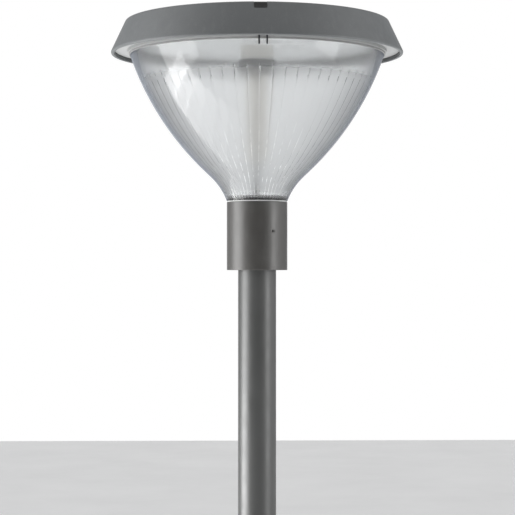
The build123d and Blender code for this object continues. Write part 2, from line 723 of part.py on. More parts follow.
def supply_plug():
    body = rod(SOCKET_RADIUS + 1, socket_top + SEAT_GAP + 0.5, tray_low, y=CONDUIT_OFFSET)
    for x, y in contact_places():
        body += rod(CONTACT_PIN_RADIUS, socket_top - CONTACT_DEPTH + 2, socket_top + 2, x, y)
    return body


# ---------------------------------------------------------------- ring on the bowl's rim
def prong_places():
    return (PRONG_OFFSET - PRONG_SPACING / 2, PRONG_OFFSET + PRONG_SPACING / 2)


def rim_seal():
    """Dark rubber channel over the bowl's edge."""
    foot = rim_low
    return lathe_points(
        (BOWL_RIM_RADIUS + 0.05, foot),
        (channel_outer - 0.05, foot),
        (channel_outer - 0.05, channel_top - RING_PLATE - 0.05),
        (channel_inner + 0.05, channel_top - RING_PLATE - 0.05),
        (channel_inner + 0.05, foot + 8),
        (inner_edge(), foot + 8),
        (inner_edge(), bowl_top + 0.05),
        (BOWL_RIM_RADIUS + 0.05, bowl_top + 0.05),
    )


def inner_edge():
    """Radius just inside the bowl's rim wall."""
    return bowl_outline(BOWL_WALL)[3][0] - 0.05


def rim_ring():
    """Annular plate with a channel that sits on the seal; it carries the hinge and the canopy."""
    channel_foot = channel_top - RING_CHANNEL_DEPTH - RING_PLATE
    wall_out = channel_outer + RING_CHANNEL_WALL
    wall_in = channel_inner - RING_CHANNEL_WALL
    ring = lathe_points(
        (wall_in, channel_foot + 4),
        (channel_inner, channel_foot + 4),
        (channel_inner, channel_top - RING_PLATE),
        (channel_outer, channel_top - RING_PLATE),
        (channel_outer, channel_foot),
        (wall_out, channel_foot),
        (wall_out, ring_low),
        (ring_radius, ring_low),
        (ring_radius, ring_high),
        (wall_out, ring_high),
        (wall_out, channel_top),
        (wall_in, channel_top),
    )
    slot_near, slot_far = wall_out + SEAT_GAP, wall_out + PRONG_SLOT
    for x in prong_places():
        ring -= block(PRONG_WIDTH + 2, -slot_far, -slot_near, ring_low - 1, ring_high + 1, x)
    return ring


def canopy_seal():
    return tube(channel_outer + 1, channel_inner - 1, channel_top, channel_top + SEAL_HEIGHT)


# ---------------------------------------------------------------- hinge
def hinge_lugs():
    """Two lugs under the ring that reach out past the canopy's hem to the hinge pin."""
    under, arm_low = hem_low - 1.2, hem_low - 5.5
    root_near, root_far = ring_radius - 22, ring_radius - 6
    outline = [
        (root_near, ring_low),
        (root_near, arm_low + 2),
        (root_near + 3, arm_low),
        (hinge_y + HINGE_RADIUS - 2, arm_low),
        (hinge_y + HINGE_RADIUS, arm_low + 2),
        (hinge_y + HINGE_RADIUS, hinge_z),
        (hinge_y - HINGE_RADIUS, hinge_z),
        (hinge_y - HINGE_RADIUS, under),
        (root_far, under),
        (root_far, ring_low),
    ]
    lugs = []
    for side in (-1, 1):
        x = side * (HINGE_LEAF_WIDTH / 2 + HINGE_SIDE_GAP + HINGE_LUG_WIDTH / 2)
        eye = rod_x(HINGE_RADIUS, x - HINGE_LUG_WIDTH / 2, x + HINGE_LUG_WIDTH / 2, hinge_y, hinge_z)
        lug = side_plate(outline, HINGE_LUG_WIDTH, x) + eye
        lugs.append(lug - hinge_bore())
    return Compound(children=lugs)


def hinge_bore():
    return rod_x(HINGE_PIN_RADIUS + PIN_GAP, -100, 100, hinge_y, hinge_z)


def hinge_leaf():
    """Leaf on the canopy's wall, with the middle knuckle."""
    knuckle = rod_x(HINGE_RADIUS, -HINGE_LEAF_WIDTH / 2, HINGE_LEAF_WIDTH / 2, hinge_y, hinge_z)
    pad_low, pad_high = hinge_z + LEAF_PAD_LOW, hinge_z + LEAF_PAD_HIGH
    neck = side_plate(
        [
            (hinge_y - HINGE_RADIUS, hinge_z),
            (hinge_y + HINGE_RADIUS, hinge_z),
            (wall_y(pad_low + 6) + 6, pad_low + 6),
            (wall_y(pad_low + 6) - 4, pad_low + 6),
            (wall_y(hinge_z + 3) - 1, hinge_z + 3),
        ],
        HINGE_LEAF_WIDTH,
    )
    pad = side_plate(
        [
            (wall_y(pad_low) + LEAF_THICKNESS, pad_low),
            (wall_y(pad_high) + LEAF_THICKNESS, pad_high),
            (wall_y(pad_high) - 6, pad_high),
            (wall_y(pad_low) - 6, pad_low),
        ],
        HINGE_LEAF_WIDTH * 2,
    )
    leaf = knuckle + neck + pad - canopy_volume(0)
    return leaf - hinge_bore()


def wall_y(z):
    """Radius of the canopy's outer wall at a height."""
    return canopy_radius - (z - wide_height) * wall_slope


def leaf_screws():
    """Two button-head screws through the leaf into the canopy's wall."""
    z = hinge_z + LEAF_SCREW_HEIGHT
    head = extrude(Circle(5), 3)
    head = fillet(head.edges().group_by(Axis.Z)[-1], 1.5) - Pos(0, 0, 1) * extrude(RegularPolygon(2.2, 6), 3)
    turn = Rot(-90 + wall_angle, 0, 0)
    y = wall_y(z) + LEAF_THICKNESS + 0.6
    return Compound(children=[Pos(x, y, z) * turn * head for x in (-LEAF_SCREW_OFFSET, LEAF_SCREW_OFFSET)])


def hinge_pin():
    reach = HINGE_LEAF_WIDTH / 2 + HINGE_SIDE_GAP + HINGE_LUG_WIDTH
    pin = rod_x(HINGE_PIN_RADIUS, -reach - 0.5, reach + 0.5, hinge_y, hinge_z)
    heads = [rod_x(HINGE_PIN_RADIUS + 1.6, x, x + 2, hinge_y, hinge_z) for x in (-reach - 2.5, reach + 0.5)]
    return pin + heads


# ---------------------------------------------------------------- canopy
def canopy_volume(inset):
    """Solid inside the canopy's outer face, moved in by inset: cone wall and shallow dome."""
    slant = inset / cos(radians(wall_angle))
    top = canopy_top_radius - slant + inset * wall_slope
    edge = roof_edge - inset
    wide = canopy_radius - slant
    outline = make_face(
        Curve()
        + [
            ThreePointArc((0, edge + CANOPY_DOME), dome_point(top / 2, top, edge), (top, edge)),
            Line((top, edge), (wide, wide_height)),
            Line((wide, wide_height), (wide, hem_low)),
            Line((wide, hem_low), (0, hem_low)),
            Line((0, hem_low), (0, edge + CANOPY_DOME)),
        ]
    )
    corners = outline.vertices().sort_by(Axis.Y)
    outline = fillet(corners[-2], max(CANOPY_CORNER - inset, 1.0))
    foot = outline.vertices().sort_by(Axis.Y)[:2].sort_by(Axis.X)[-1]
    outline = fillet(foot, HEM_LIP_RADIUS)
    return revolve(Plane.XZ * outline, Axis.Z)


def dome_point(radius, top, edge):
    """The point of the dome at a radius: a circle's arc that rises CANOPY_DOME over its edge."""
    sphere = (top**2 + CANOPY_DOME**2) / (2 * CANOPY_DOME)
    return (radius, edge + CANOPY_DOME - sphere + sqrt(sphere**2 - radius**2))


def notch():
    """The latch's opening in the roof's front edge."""
    return block(
        LATCH_WIDTH, -canopy_radius, -canopy_top_radius + 11, roof_edge - LATCH_DEPTH, roof_edge + 20
    )


def canopy_shell():
    outer = canopy_volume(0)
    inner = canopy_volume(CANOPY_WALL)
    hem = tube(canopy_radius + 5, canopy_radius - HEM_WIDTH, hem_low - 1, hem_low + HEM_HEIGHT)
    return outer - (inner - hem) - rod(canopy_radius - HEM_WIDTH, hem_low - 1, hem_low + 1) - notch()


def gear_tray():
    """Reflector disc that closes the canopy's underside and carries the gear."""
    plate = rod(tray_radius, tray_low, tray_top)
    plate -= rod(HOLDER_RADIUS + 0.3, tray_low - 1, tray_top + 1)
    relief = block(LATCH_WIDTH + 24, -tray_radius - 1, -tray_radius + 9, tray_low - 1, tray_top + 1)
    return plate - relief


def spacer_places():
    angles = [radians(a) for a in SPACER_ANGLES]
    return [(SPACER_CIRCLE * cos(a), SPACER_CIRCLE * sin(a)) for a in angles]


def tray_spacers():
    """Posts between the tray and the canopy's roof."""
    inner = canopy_volume(CANOPY_WALL + 0.05)
    top = roof_edge + 2 * CANOPY_DOME
    posts = [rod(SPACER_RADIUS, tray_top, top, x, y) & inner for x, y in spacer_places()]
    return Compound(children=posts)


def tray_screws():
    heads = []
    for x, y in spacer_places():
        head = rod(TRAY_SCREW_RADIUS, tray_low - TRAY_SCREW_HEIGHT, tray_low, x, y)
        head = fillet(head.edges().group_by(Axis.Z)[0], 1.2)
        key = Pos(x, y, tray_low - TRAY_SCREW_HEIGHT - 0.4) * extrude(RegularPolygon(2.4, 6), 2)
        heads.append(head - key)
    return Compound(children=heads)


def ballast():
    """Laminated core with its windings and a foot plate."""
    middle = Pos(-GEAR_OFFSET, 0, tray_top + BALLAST_HEIGHT / 2)
    core = middle * Box(BALLAST_WIDTH, BALLAST_LENGTH - 42, BALLAST_HEIGHT)
    coils = middle * Box(BALLAST_WIDTH - 20, BALLAST_LENGTH - 12, BALLAST_HEIGHT - 10)
    coils = fillet(coils.edges().filter_by(Axis.Z), 6)
    foot = Pos(-GEAR_OFFSET, 0, tray_top + 1.5) * Box(BALLAST_WIDTH, BALLAST_LENGTH, 3)
    return core + coils + foot


def ignitor():
    width, length, height = IGNITOR_SIZE
    can = Pos(GEAR_OFFSET, IGNITOR_Y, tray_top) * extrude(RectangleRounded(width, length, 6), height)
    return fillet(can.edges().group_by(Axis.Z)[-1], 3)


def capacitor():
    axis_z = tray_top + CAPACITOR_RADIUS
    can = rod_y(CAPACITOR_RADIUS, CAPACITOR_Y - CAPACITOR_LENGTH, CAPACITOR_Y, GEAR_OFFSET, axis_z)
    return fillet(can.edges().filter_by(GeomType.CIRCLE), 2.5)


def capacitor_clip():
    """Strap over the capacitor with a foot on each side."""
    axis_z = tray_top + CAPACITOR_RADIUS
    strap_high = CAPACITOR_Y - CAPACITOR_LENGTH / 2 + 4
    strap_low = strap_high - CLIP_WIDTH
    room = rod_y(CAPACITOR_RADIUS + 0.2, strap_low - 1, strap_high + 1, GEAR_OFFSET, axis_z)
    strap = rod_y(CAPACITOR_RADIUS + 2, strap_low, strap_high, GEAR_OFFSET, axis_z)
    feet = block(60, strap_low, strap_high, tray_top, tray_top + 2, GEAR_OFFSET)
    below = block(80, strap_low - 3, strap_high + 3, tray_top - 20, tray_top, GEAR_OFFSET)
    return strap + feet - room - below


def terminal_block():
    width, depth, height = TERMINAL_SIZE
    back, front = TERMINAL_Y + depth / 2, TERMINAL_Y - depth / 2
    body = block(width, front, back, tray_top, tray_top + height)
    for i in range(TERMINAL_COUNT):
        x = TERMINAL_PITCH * (i - (TERMINAL_COUNT - 1) / 2)
        body -= rod(3.2, tray_top + height - 6, tray_top + height + 2, x, TERMINAL_Y)
        body -= block(6, front - 4, back + 4, tray_top + 3, tray_top + 9, x)
    return body


def lampholder():
    """Glazed ceramic body with the screw shell's bore."""
    body = rod(HOLDER_RADIUS, holder_low, holder_low + HOLDER_HEIGHT)
    body = fillet(body.edges().group_by(Axis.Z)[-1], 4)
    flange_top = tray_top + HOLDER_FLANGE_THICKNESS
    flange = tube(HOLDER_RADIUS + HOLDER_FLANGE, HOLDER_RADIUS - 4, tray_top, flange_top)
    return body + flange - rod(CAP_RADIUS + 0.8, holder_low - 1, holder_low + CAP_HEIGHT + 1)


def lampholder_shroud():
    """Dark skirt that hides the lamp's cap and holds its neck."""
    grip = BULB_RADIUS + 1.5
    return lathe_points(
        (grip, holder_low),
        (SHROUD_RADIUS, holder_low),
        (SHROUD_RADIUS, shroud_low),
        (SHROUD_RADIUS - SHROUD_WALL, shroud_low),
        (SHROUD_RADIUS - SHROUD_WALL, holder_low - SHROUD_WALL),
        (grip, holder_low - SHROUD_WALL),
    )


# ---------------------------------------------------------------- lamp
def lamp_cap():
    """Screw cap with rolled ridges and an end contact."""
    low = holder_low - 4
    root = CAP_RADIUS - CAP_RIDGE
    points = [(0, low), (root, low)]
    for i in range(CAP_RIDGES):
        z = low + 8 + i * CAP_PITCH
        points += [(root, z - CAP_PITCH / 2 + 0.4), (CAP_RADIUS, z - 0.8)]
        points += [(CAP_RADIUS, z + 0.8), (root, z + CAP_PITCH / 2 - 0.4)]
    top = low + CAP_HEIGHT - 4
    points += [(root, top - 4), (CAP_RADIUS - 7, top), (6, top), (6, top + 3), (0, top + 3)]
    return lathe_points(*points) - rod(BULB_NECK + 0.1, low - 1, low + CAP_GRIP)


def bulb_edges(inset):
    """Half outline of the tubular bulb: rounded foot, straight tube, shoulder and neck."""
    cap_low = holder_low - 4
    radius, neck = BULB_RADIUS - inset, BULB_NECK - inset
    foot, shoulder = bulb_low + inset, cap_low - 20
    end = Vector(0, foot), Vector(radius * sin(radians(45)), foot + radius * (1 - cos(radians(45))))
    top = cap_low + CAP_GRIP - 0.5 - inset
    return [
        ThreePointArc(end[0], end[1], (radius, foot + radius)),
        Line((radius, foot + radius), (radius, shoulder)),
        Line((radius, shoulder), (neck, shoulder + 13)),
        Line((neck, shoulder + 13), (neck, top)),
        Line((neck, top), (0, top)),
        Line((0, top), (0, foot)),
    ]


def lamp_bulb():
    return lathe(*bulb_edges(0)) - lathe(*bulb_edges(BULB_WALL))


def lamp_burner():
    """Ceramic arc tube on its stem and lead wires."""
    cap_low = holder_low - 4
    stem_low = cap_low - STEM_DROP
    stem = rod(STEM_RADIUS, stem_low, cap_low + CAP_GRIP - 0.5 - BULB_WALL)
    stem = chamfer(stem.edges().group_by(Axis.Z)[0], 3)
    burner_low, burner_high = bulb_low + BURNER_MARGIN, stem_low - 16
    burner = rod(BURNER_RADIUS, burner_low, burner_high)
    foot = burner_low - 16
    side = rod(WIRE_RADIUS, foot, stem_low + 8, x=WIRE_OFFSET)
    cross = rod_x(WIRE_RADIUS, -WIRE_RADIUS, WIRE_OFFSET + WIRE_RADIUS, 0, foot)
    lower = rod(WIRE_RADIUS, foot, burner_low)
    upper = rod(WIRE_RADIUS, burner_high, stem_low)
    shoulder = rod_x(WIRE_RADIUS, 0, WIRE_OFFSET + WIRE_RADIUS, 0, stem_low + 8)
    return stem + burner + side + cross + lower + upper + shoulder


# ---------------------------------------------------------------- latch
latch_foot_z = tray_top + 3
latch_pivot_z = tray_top + 0.35 * (roof_edge - tray_top)


def inner_y(z, depth):
    """Y on the front wall's inside, at a depth behind the outer face."""
    return -(wall_y(z) - depth / cos(radians(wall_angle)))


latch_pivot_y = inner_y(latch_pivot_z, 11.0)


def latch_lever():
    """Black lever: its head fills the notch, its plate runs down behind the wall to the prongs."""
    width = LATCH_WIDTH - 2 * LATCH_GAP
    head_low, head_high = roof_edge - LATCH_DEPTH + LATCH_GAP, roof_edge + 20
    head = block(width, -canopy_radius, -canopy_top_radius + 8, head_low, head_high) & canopy_volume(0.4)
    low = latch_foot_z
    near, far = LATCH_PLATE_DEPTH, LATCH_PLATE_DEPTH + LATCH_PLATE
    plate = side_plate(
        [
            (inner_y(head_low, near), head_low),
            (inner_y(head_low + 4, near), head_low + 4),
            (inner_y(head_low + 4, far + 1), head_low + 4),
            (inner_y(low, far), low),
            (inner_y(low, near), low),
        ],
        width - 4,
    )
    barrel = rod_x(LATCH_BARREL_RADIUS, -width / 2 + 2, width / 2 - 2, latch_pivot_y, latch_pivot_z)
    foot_width = PRONG_SPACING + PRONG_WIDTH
    foot = block(foot_width, inner_y(low, near), inner_y(low, far) + 3, low, low + 3, PRONG_OFFSET)
    bore = rod_x(LATCH_PIN_RADIUS + PIN_GAP, -LATCH_WIDTH, LATCH_WIDTH, latch_pivot_y, latch_pivot_z)
    return head + plate + barrel + foot - bore


def latch_prongs():
    """Two spring-steel prongs that hook under the ring's channel."""
    foot_low = latch_foot_z
    wall_out = channel_outer + RING_CHANNEL_WALL
    near, far = wall_out + PRONG_GAP, wall_out + PRONG_GAP + PRONG_THICKNESS
    tip = rim_low - PRONG_DROP
    tooth_top = channel_top - RING_CHANNEL_DEPTH - RING_PLATE - 1.2
    start = inner_y(foot_low, LATCH_PLATE_DEPTH)
    outline = [
        (start, foot_low),
        (start, foot_low - PRONG_THICKNESS),
        (-far, foot_low - PRONG_THICKNESS),
        (-far, tip + 2),
        (-far + 0.8, tip),
        (-near, tip + 3),
        (-near, tooth_top - 5),
        (-wall_out + 1.2, tooth_top - 1.5),
        (-wall_out + 1.2, tooth_top),
        (-near, tooth_top),
        (-near, foot_low),
    ]
    return Compound(children=[side_plate(outline, PRONG_WIDTH, x) for x in prong_places()])


def latch_bracket():
    """Two ears on the inside of the canopy's wall, with the lever's pin."""
    parts = []
    for side in (-1, 1):
        x = side * (LATCH_WIDTH / 2 + SEAT_GAP + LATCH_EAR / 2)
        ear = side_plate(
            [
                (latch_pivot_y + 4, latch_pivot_z - 4),
                (latch_pivot_y + 4, latch_pivot_z + 4),
                (inner_y(latch_pivot_z + 9, 0), latch_pivot_z + 9),
                (inner_y(latch_pivot_z - 5, 0), latch_pivot_z - 5),
            ],
            LATCH_EAR,
            x,
        )
        parts.append(ear)
    reach = LATCH_WIDTH / 2 + LATCH_EAR + 1
    pin = rod_x(LATCH_PIN_RADIUS, -reach, reach, latch_pivot_y, latch_pivot_z)
    return (parts[0] + parts[1] + pin) & canopy_volume(CANOPY_WALL + 0.1)


# ---------------------------------------------------------------- write every node
NODES = {
    "base_plate": base_plate,
    "lower_shaft": lower_shaft,
    "base_weld": base_weld,
    "swaged_shoulder": swaged_shoulder,
    "centring_ring": centring_ring,
    "upper_shaft": upper_shaft,
    "shaft_grommet": shaft_grommet,
    "door_frame": door_frame,
    "access_door": access_door,
    "lock_bolt": lock_bolt,
    "lock_bar": lock_bar,
    "lock_nut": lock_nut,
    "backboard": backboard,
    "board_studs": board_studs,
    "fuse_box": fuse_box,
    "fuse_carrier_left": lambda: fuse_carrier(fuse_slots()[0]),
    "fuse_carrier_right": lambda: fuse_carrier(fuse_slots()[1]),
    "cable_glands": glands,
    "earth_stud": earth_stud,
    "lantern_lead": lantern_lead,
    "post_collar": post_collar,
    "clamp_screws": clamp_screws,
    "neck_seal": neck_seal,
    "bowl": bowl,
    "neck_clamp_ring": neck_clamp_ring,
    "neck_screws": neck_screws,
    "supply_conduit": supply_conduit,
    "supply_socket": supply_socket,
    "rim_seal": rim_seal,
    "rim_ring": rim_ring,
    "canopy_seal": canopy_seal,
    "hinge_lugs": hinge_lugs,
    "hinge_pin": hinge_pin,
    "hinge_leaf": hinge_leaf,
    "leaf_screws": leaf_screws,
    "canopy_shell": canopy_shell,
    "gear_tray": gear_tray,
    "tray_spacers": tray_spacers,
    "tray_screws": tray_screws,
    "ballast": ballast,
    "ignitor": ignitor,
    "capacitor": capacitor,
    "capacitor_clip": capacitor_clip,
    "terminal_block": terminal_block,
    "supply_plug": supply_plug,
    "lampholder": lampholder,
    "lampholder_shroud": lampholder_shroud,
    "lamp_cap": lamp_cap,
    "lamp_bulb": lamp_bulb,
    "lamp_burner": lamp_burner,
    "latch_lever": latch_lever,
    "latch_prongs": latch_prongs,
    "latch_bracket": latch_bracket,
}


def main():
    os.makedirs("parts", exist_ok=True)
    for name, make in NODES.items():
        shape = make()
        export_step(shape, f"parts/{name}.step")
        print(name, round(shape.volume), shape.is_valid)


main()
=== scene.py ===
"""Looks for a post-top street lamp. Metres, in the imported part's own frame: +Z up, the latch faces -Y."""

import json
import math

import bmesh
import bpy
from mathutils import Matrix, Vector


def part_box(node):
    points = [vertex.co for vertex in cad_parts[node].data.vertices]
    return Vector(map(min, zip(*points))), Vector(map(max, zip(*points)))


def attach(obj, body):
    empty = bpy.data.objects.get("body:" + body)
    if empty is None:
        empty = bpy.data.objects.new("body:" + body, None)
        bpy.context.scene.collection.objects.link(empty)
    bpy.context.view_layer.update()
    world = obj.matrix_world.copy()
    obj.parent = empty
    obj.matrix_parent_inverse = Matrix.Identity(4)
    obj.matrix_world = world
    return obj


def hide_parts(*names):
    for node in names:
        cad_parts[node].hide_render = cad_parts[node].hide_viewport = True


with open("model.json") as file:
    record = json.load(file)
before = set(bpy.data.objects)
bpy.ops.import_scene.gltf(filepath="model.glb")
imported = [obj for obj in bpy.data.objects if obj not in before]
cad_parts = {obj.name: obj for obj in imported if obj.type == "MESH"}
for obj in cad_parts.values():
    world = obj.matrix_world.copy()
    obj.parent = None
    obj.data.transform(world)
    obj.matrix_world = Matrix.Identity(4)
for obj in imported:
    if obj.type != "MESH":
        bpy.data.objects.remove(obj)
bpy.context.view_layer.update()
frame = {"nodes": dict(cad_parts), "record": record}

MM = 0.001
FLUTES = 60
nodes = frame["nodes"]

# ---------------------------------------------------------------- sizes read from the frame
collar_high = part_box("post_collar")[1]
bowl_low, bowl_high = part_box("bowl")
seal_low, seal_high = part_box("rim_seal")
canopy_low, canopy_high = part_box("canopy_shell")

collar_radius = collar_high.x
neck_z = collar_high.z
rim_radius = bowl_high.x
canopy_radius = canopy_high.x


# ---------------------------------------------------------------- node helpers
class Graph:
    """A material's node tree, with short calls for the nodes used here."""

    def __init__(self, name):
        self.material = bpy.data.materials.new(name)
        self.material.use_nodes = True
        self.tree = self.material.node_tree
        self.tree.nodes.clear()
        self.output = self.tree.nodes.new("ShaderNodeOutputMaterial")
        self.shader = self.tree.nodes.new("ShaderNodeBsdfPrincipled")
        self.link(self.shader.outputs["BSDF"], self.output.inputs["Surface"])
        self.coordinates = self.tree.nodes.new("ShaderNodeTexCoord").outputs["Object"]

    def link(self, a, b):
        self.tree.links.new(a, b)

    def set(self, **values):
        for key, value in values.items():
            self.shader.inputs[key.replace("_", " ")].default_value = value

    def feed(self, name, socket):
        self.link(socket, self.shader.inputs[name])

    def scaled(self, x, y, z):
        node = self.tree.nodes.new("ShaderNodeMapping")
        node.inputs["Scale"].default_value = (x, y, z)
        self.link(self.coordinates, node.inputs["Vector"])
        return node.outputs["Vector"]

    def noise(self, scale, detail=3.0, rough=0.55, vector=None):
        node = self.tree.nodes.new("ShaderNodeTexNoise")
        node.inputs["Scale"].default_value = scale
        node.inputs["Detail"].default_value = detail
        node.inputs["Roughness"].default_value = rough
        self.link(vector or self.coordinates, node.inputs["Vector"])
        return node.outputs["Fac"]

    def voronoi(self, scale):
        node = self.tree.nodes.new("ShaderNodeTexVoronoi")
        node.inputs["Scale"].default_value = scale
        self.link(self.coordinates, node.inputs["Vector"])
        return node.outputs["Distance"]

    def span(self, value, low, high, to_low=0.0, to_high=1.0):
        node = self.tree.nodes.new("ShaderNodeMapRange")
        node.inputs["From Min"].default_value = low
        node.inputs["From Max"].default_value = high
        node.inputs["To Min"].default_value = to_low
        node.inputs["To Max"].default_value = to_high
        self.link(value, node.inputs["Value"])
        return node.outputs["Result"]

    def math(self, operation, a, b):
        node = self.tree.nodes.new("ShaderNodeMath")
        node.operation = operation
        for socket, value in zip(node.inputs, (a, b)):
            if isinstance(value, (int, float)):
                socket.default_value = value
            else:
                self.link(value, socket)
        return node.outputs["Value"]

    def mix(self, factor, a, b, blend="MIX"):
        node = self.tree.nodes.new("ShaderNodeMix")
        node.data_type = "RGBA"
        node.blend_type = blend
        for socket, value in ((node.inputs[0], factor), (node.inputs[6], a), (node.inputs[7], b)):
            if isinstance(value, tuple):
                socket.default_value = (*value, 1.0)
            else:
                self.link(value, socket)
        return node.outputs[2]

    def bump(self, height, distance, strength, normal=None):
        node = self.tree.nodes.new("ShaderNodeBump")
        node.inputs["Strength"].default_value = strength
        node.inputs["Distance"].default_value = distance
        self.link(height, node.inputs["Height"])
        if normal is not None:
            self.link(normal, node.inputs["Normal"])
        return node.outputs["Normal"]

    def height(self):
        node = self.tree.nodes.new("ShaderNodeSeparateXYZ")
        self.link(self.coordinates, node.inputs["Vector"])
        return node.outputs["Z"]

    def facing(self):
        """0 where the surface faces the ray, 1 where it is seen edge on."""
        node = self.tree.nodes.new("ShaderNodeLayerWeight")
        node.inputs["Blend"].default_value = 0.5
        return node.outputs["Facing"]

    def highlight_lines(self):
        """1 on fine lines that run up the bowl between its flutes, broken here and there, and 0 elsewhere:
        where the painted highlights glow.
        """
        split = self.tree.nodes.new("ShaderNodeSeparateXYZ")
        self.link(self.coordinates, split.inputs["Vector"])
        angle = self.math("ARCTAN2", split.outputs["X"], split.outputs["Y"])
        across = self.math("PINGPONG", self.math("MULTIPLY", angle, FLUTES / math.tau), 0.5)
        broken = self.span(self.noise(1.0, 3, 0.6, self.scaled(*LINE_BREAKS)), *LINE_GAPS)
        return self.math("MULTIPLY", self.span(across, *LINE_WIDTH), broken)

    def paint_shade(self, factor, colour):
        """Paints shade by mixing the surface towards a dull colour."""
        dull = self.tree.nodes.new("ShaderNodeBsdfDiffuse")
        dull.inputs["Color"].default_value = (*colour, 1.0)
        both = self.tree.nodes.new("ShaderNodeMixShader")
        self.link(factor, both.inputs[0])
        self.link(self.shader.outputs["BSDF"], both.inputs[1])
        self.link(dull.outputs["BSDF"], both.inputs[2])
        self.link(both.outputs["Shader"], self.output.inputs["Surface"])

    def edges(self):
        """Pointiness: over a half on edges that stand out."""
        return self.tree.nodes.new("ShaderNodeNewGeometry").outputs["Pointiness"]


# depths of the bumps in each surface
PEEL_DEPTH = 0.12 * MM
GRIT_DEPTH = 0.04 * MM
BRUSHED_DEPTH = 0.02 * MM
SKIN_DEPTH = 0.03 * MM
PORE_DEPTH = 0.04 * MM
EXTRUDED_DEPTH = 0.05 * MM
ENAMEL_DEPTH = 0.1 * MM
MOULDED_WAVE = 0.25 * MM
FROST_DEPTH = 0.03 * MM
WEAVE_DEPTH = 0.03 * MM
GLAZE_DEPTH = 0.05 * MM
GROUND_DEPTH = 0.2 * MM
BRUSHED_SCALE = 3000  # of the noise that makes brushed grain


def tone(colour, share, lift=0.0):
    """The colour made darker or paler, and no brighter than white."""
    return tuple(min(1.0, c * share + lift) for c in colour)


def paint(name, colour, rough, worn=0.25, gloss=0.5):
    """Powder-coated metal: orange peel, fine grit, faint pale vertical streaks of painted sheen, dust and
    rubbed edges.
    """
    g = Graph(name)
    cloud = g.noise(2.2, 5, 0.6)
    sheen_streak = g.noise(1.0, 4, 0.6, g.scaled(90, 90, 2.2))
    grit = g.noise(900, 2, 0.5)
    base = g.mix(g.span(cloud, 0.3, 0.7), tone(colour, 0.86), tone(colour, 1.16, 0.004))
    # painted highlight: faint pale vertical streaks of sheen
    base = g.mix(g.span(sheen_streak, 0.55, 0.8, 0, 0.28), base, tone(colour, 1.5, 0.02))
    base = g.mix(g.span(grit, 0.58, 0.75, 0, 0.35), base, tone(colour, 1.6, 0.015))
    base = g.mix(g.span(g.edges(), 0.53, 0.62, 0, worn), base, tone(colour, 2.2, 0.05))
    g.feed("Base Color", base)
    g.feed("Roughness", g.span(g.noise(35, 4), 0.3, 0.7, rough - 0.05, rough + 0.08))
    peel = g.bump(g.noise(260, 2, 0.5), PEEL_DEPTH, 0.5)
    g.feed("Normal", g.bump(grit, GRIT_DEPTH, 0.8, peel))
    g.set(Specular_IOR_Level=gloss)
    return g.material


def metal(name, colour, rough, brushed, grime=0.3):
    """Bare or plated metal with a fine brushed grain and a little dirt."""
    g = Graph(name)
    cloud = g.noise(60, 5, 0.6)
    grain = g.noise(1.0, 3, 0.6, g.scaled(*(BRUSHED_SCALE * b for b in brushed)))
    base = g.mix(g.span(cloud, 0.35, 0.7), tone(colour, 0.78), colour)
    base = g.mix(g.span(g.noise(25, 6, 0.7), 0.5, 0.75, 0, grime), base, tone(colour, 0.35))
    g.feed("Base Color", base)
    g.feed("Roughness", g.span(grain, 0.2, 0.8, rough - 0.08, rough + 0.14))
    g.feed("Normal", g.bump(grain, BRUSHED_DEPTH, 0.5))
    g.set(Metallic=1.0)
    return g.material


def plastic(name, colour, rough):
    """Moulded plastic with a fine spark-eroded skin and slight mottling."""
    g = Graph(name)
    skin = g.noise(1400, 2, 0.5)
    base = g.mix(g.span(g.noise(18, 5, 0.6), 0.3, 0.7), tone(colour, 0.85), tone(colour, 1.08))
    base = g.mix(g.span(g.edges(), 0.52, 0.6, 0, 0.3), base, tone(colour, 1.7, 0.03))
    g.feed("Base Color", base)
    g.feed("Roughness", g.span(g.noise(80, 4), 0.3, 0.7, rough - 0.06, rough + 0.08))
    g.feed("Normal", g.bump(skin, SKIN_DEPTH, 0.7))
    return g.material


def rubber(name, colour, rough=0.7):
    """Extruded rubber: dull, with fine lines, a bloom of dust and pores."""
    g = Graph(name)
    bloom = g.noise(40, 6, 0.65)
    base = g.mix(g.span(bloom, 0.45, 0.75, 0, 0.5), colour, tone(colour, 1.8, 0.03))
    g.feed("Base Color", base)
    g.feed("Roughness", g.span(bloom, 0.3, 0.7, rough - 0.12, rough + 0.1))
    lines = g.noise(1.0, 2, 0.5, g.scaled(40, 40, 1800))
    pores = g.bump(g.noise(1100, 2), PORE_DEPTH, 0.5)
    g.feed("Normal", g.bump(lines, EXTRUDED_DEPTH, 0.5, pores))
    return g.material


def enamel(name, colour, rough=0.28):
    """White baked enamel on sheet: faint orange peel and a little dust."""
    g = Graph(name)
    dust = g.noise(9, 6, 0.65)
    base = g.mix(g.span(dust, 0.4, 0.75, 0, 0.5), colour, tone(colour, 0.86))
    base = g.mix(g.span(g.voronoi(140), 0.0, 0.09, 0.3, 0), base, tone(colour, 0.55))
    g.feed("Base Color", base)
    g.feed("Roughness", g.span(dust, 0.3, 0.7, rough - 0.05, rough + 0.12))
    g.feed("Normal", g.bump(g.noise(190, 2, 0.5), ENAMEL_DEPTH, 0.35))
    return g.material


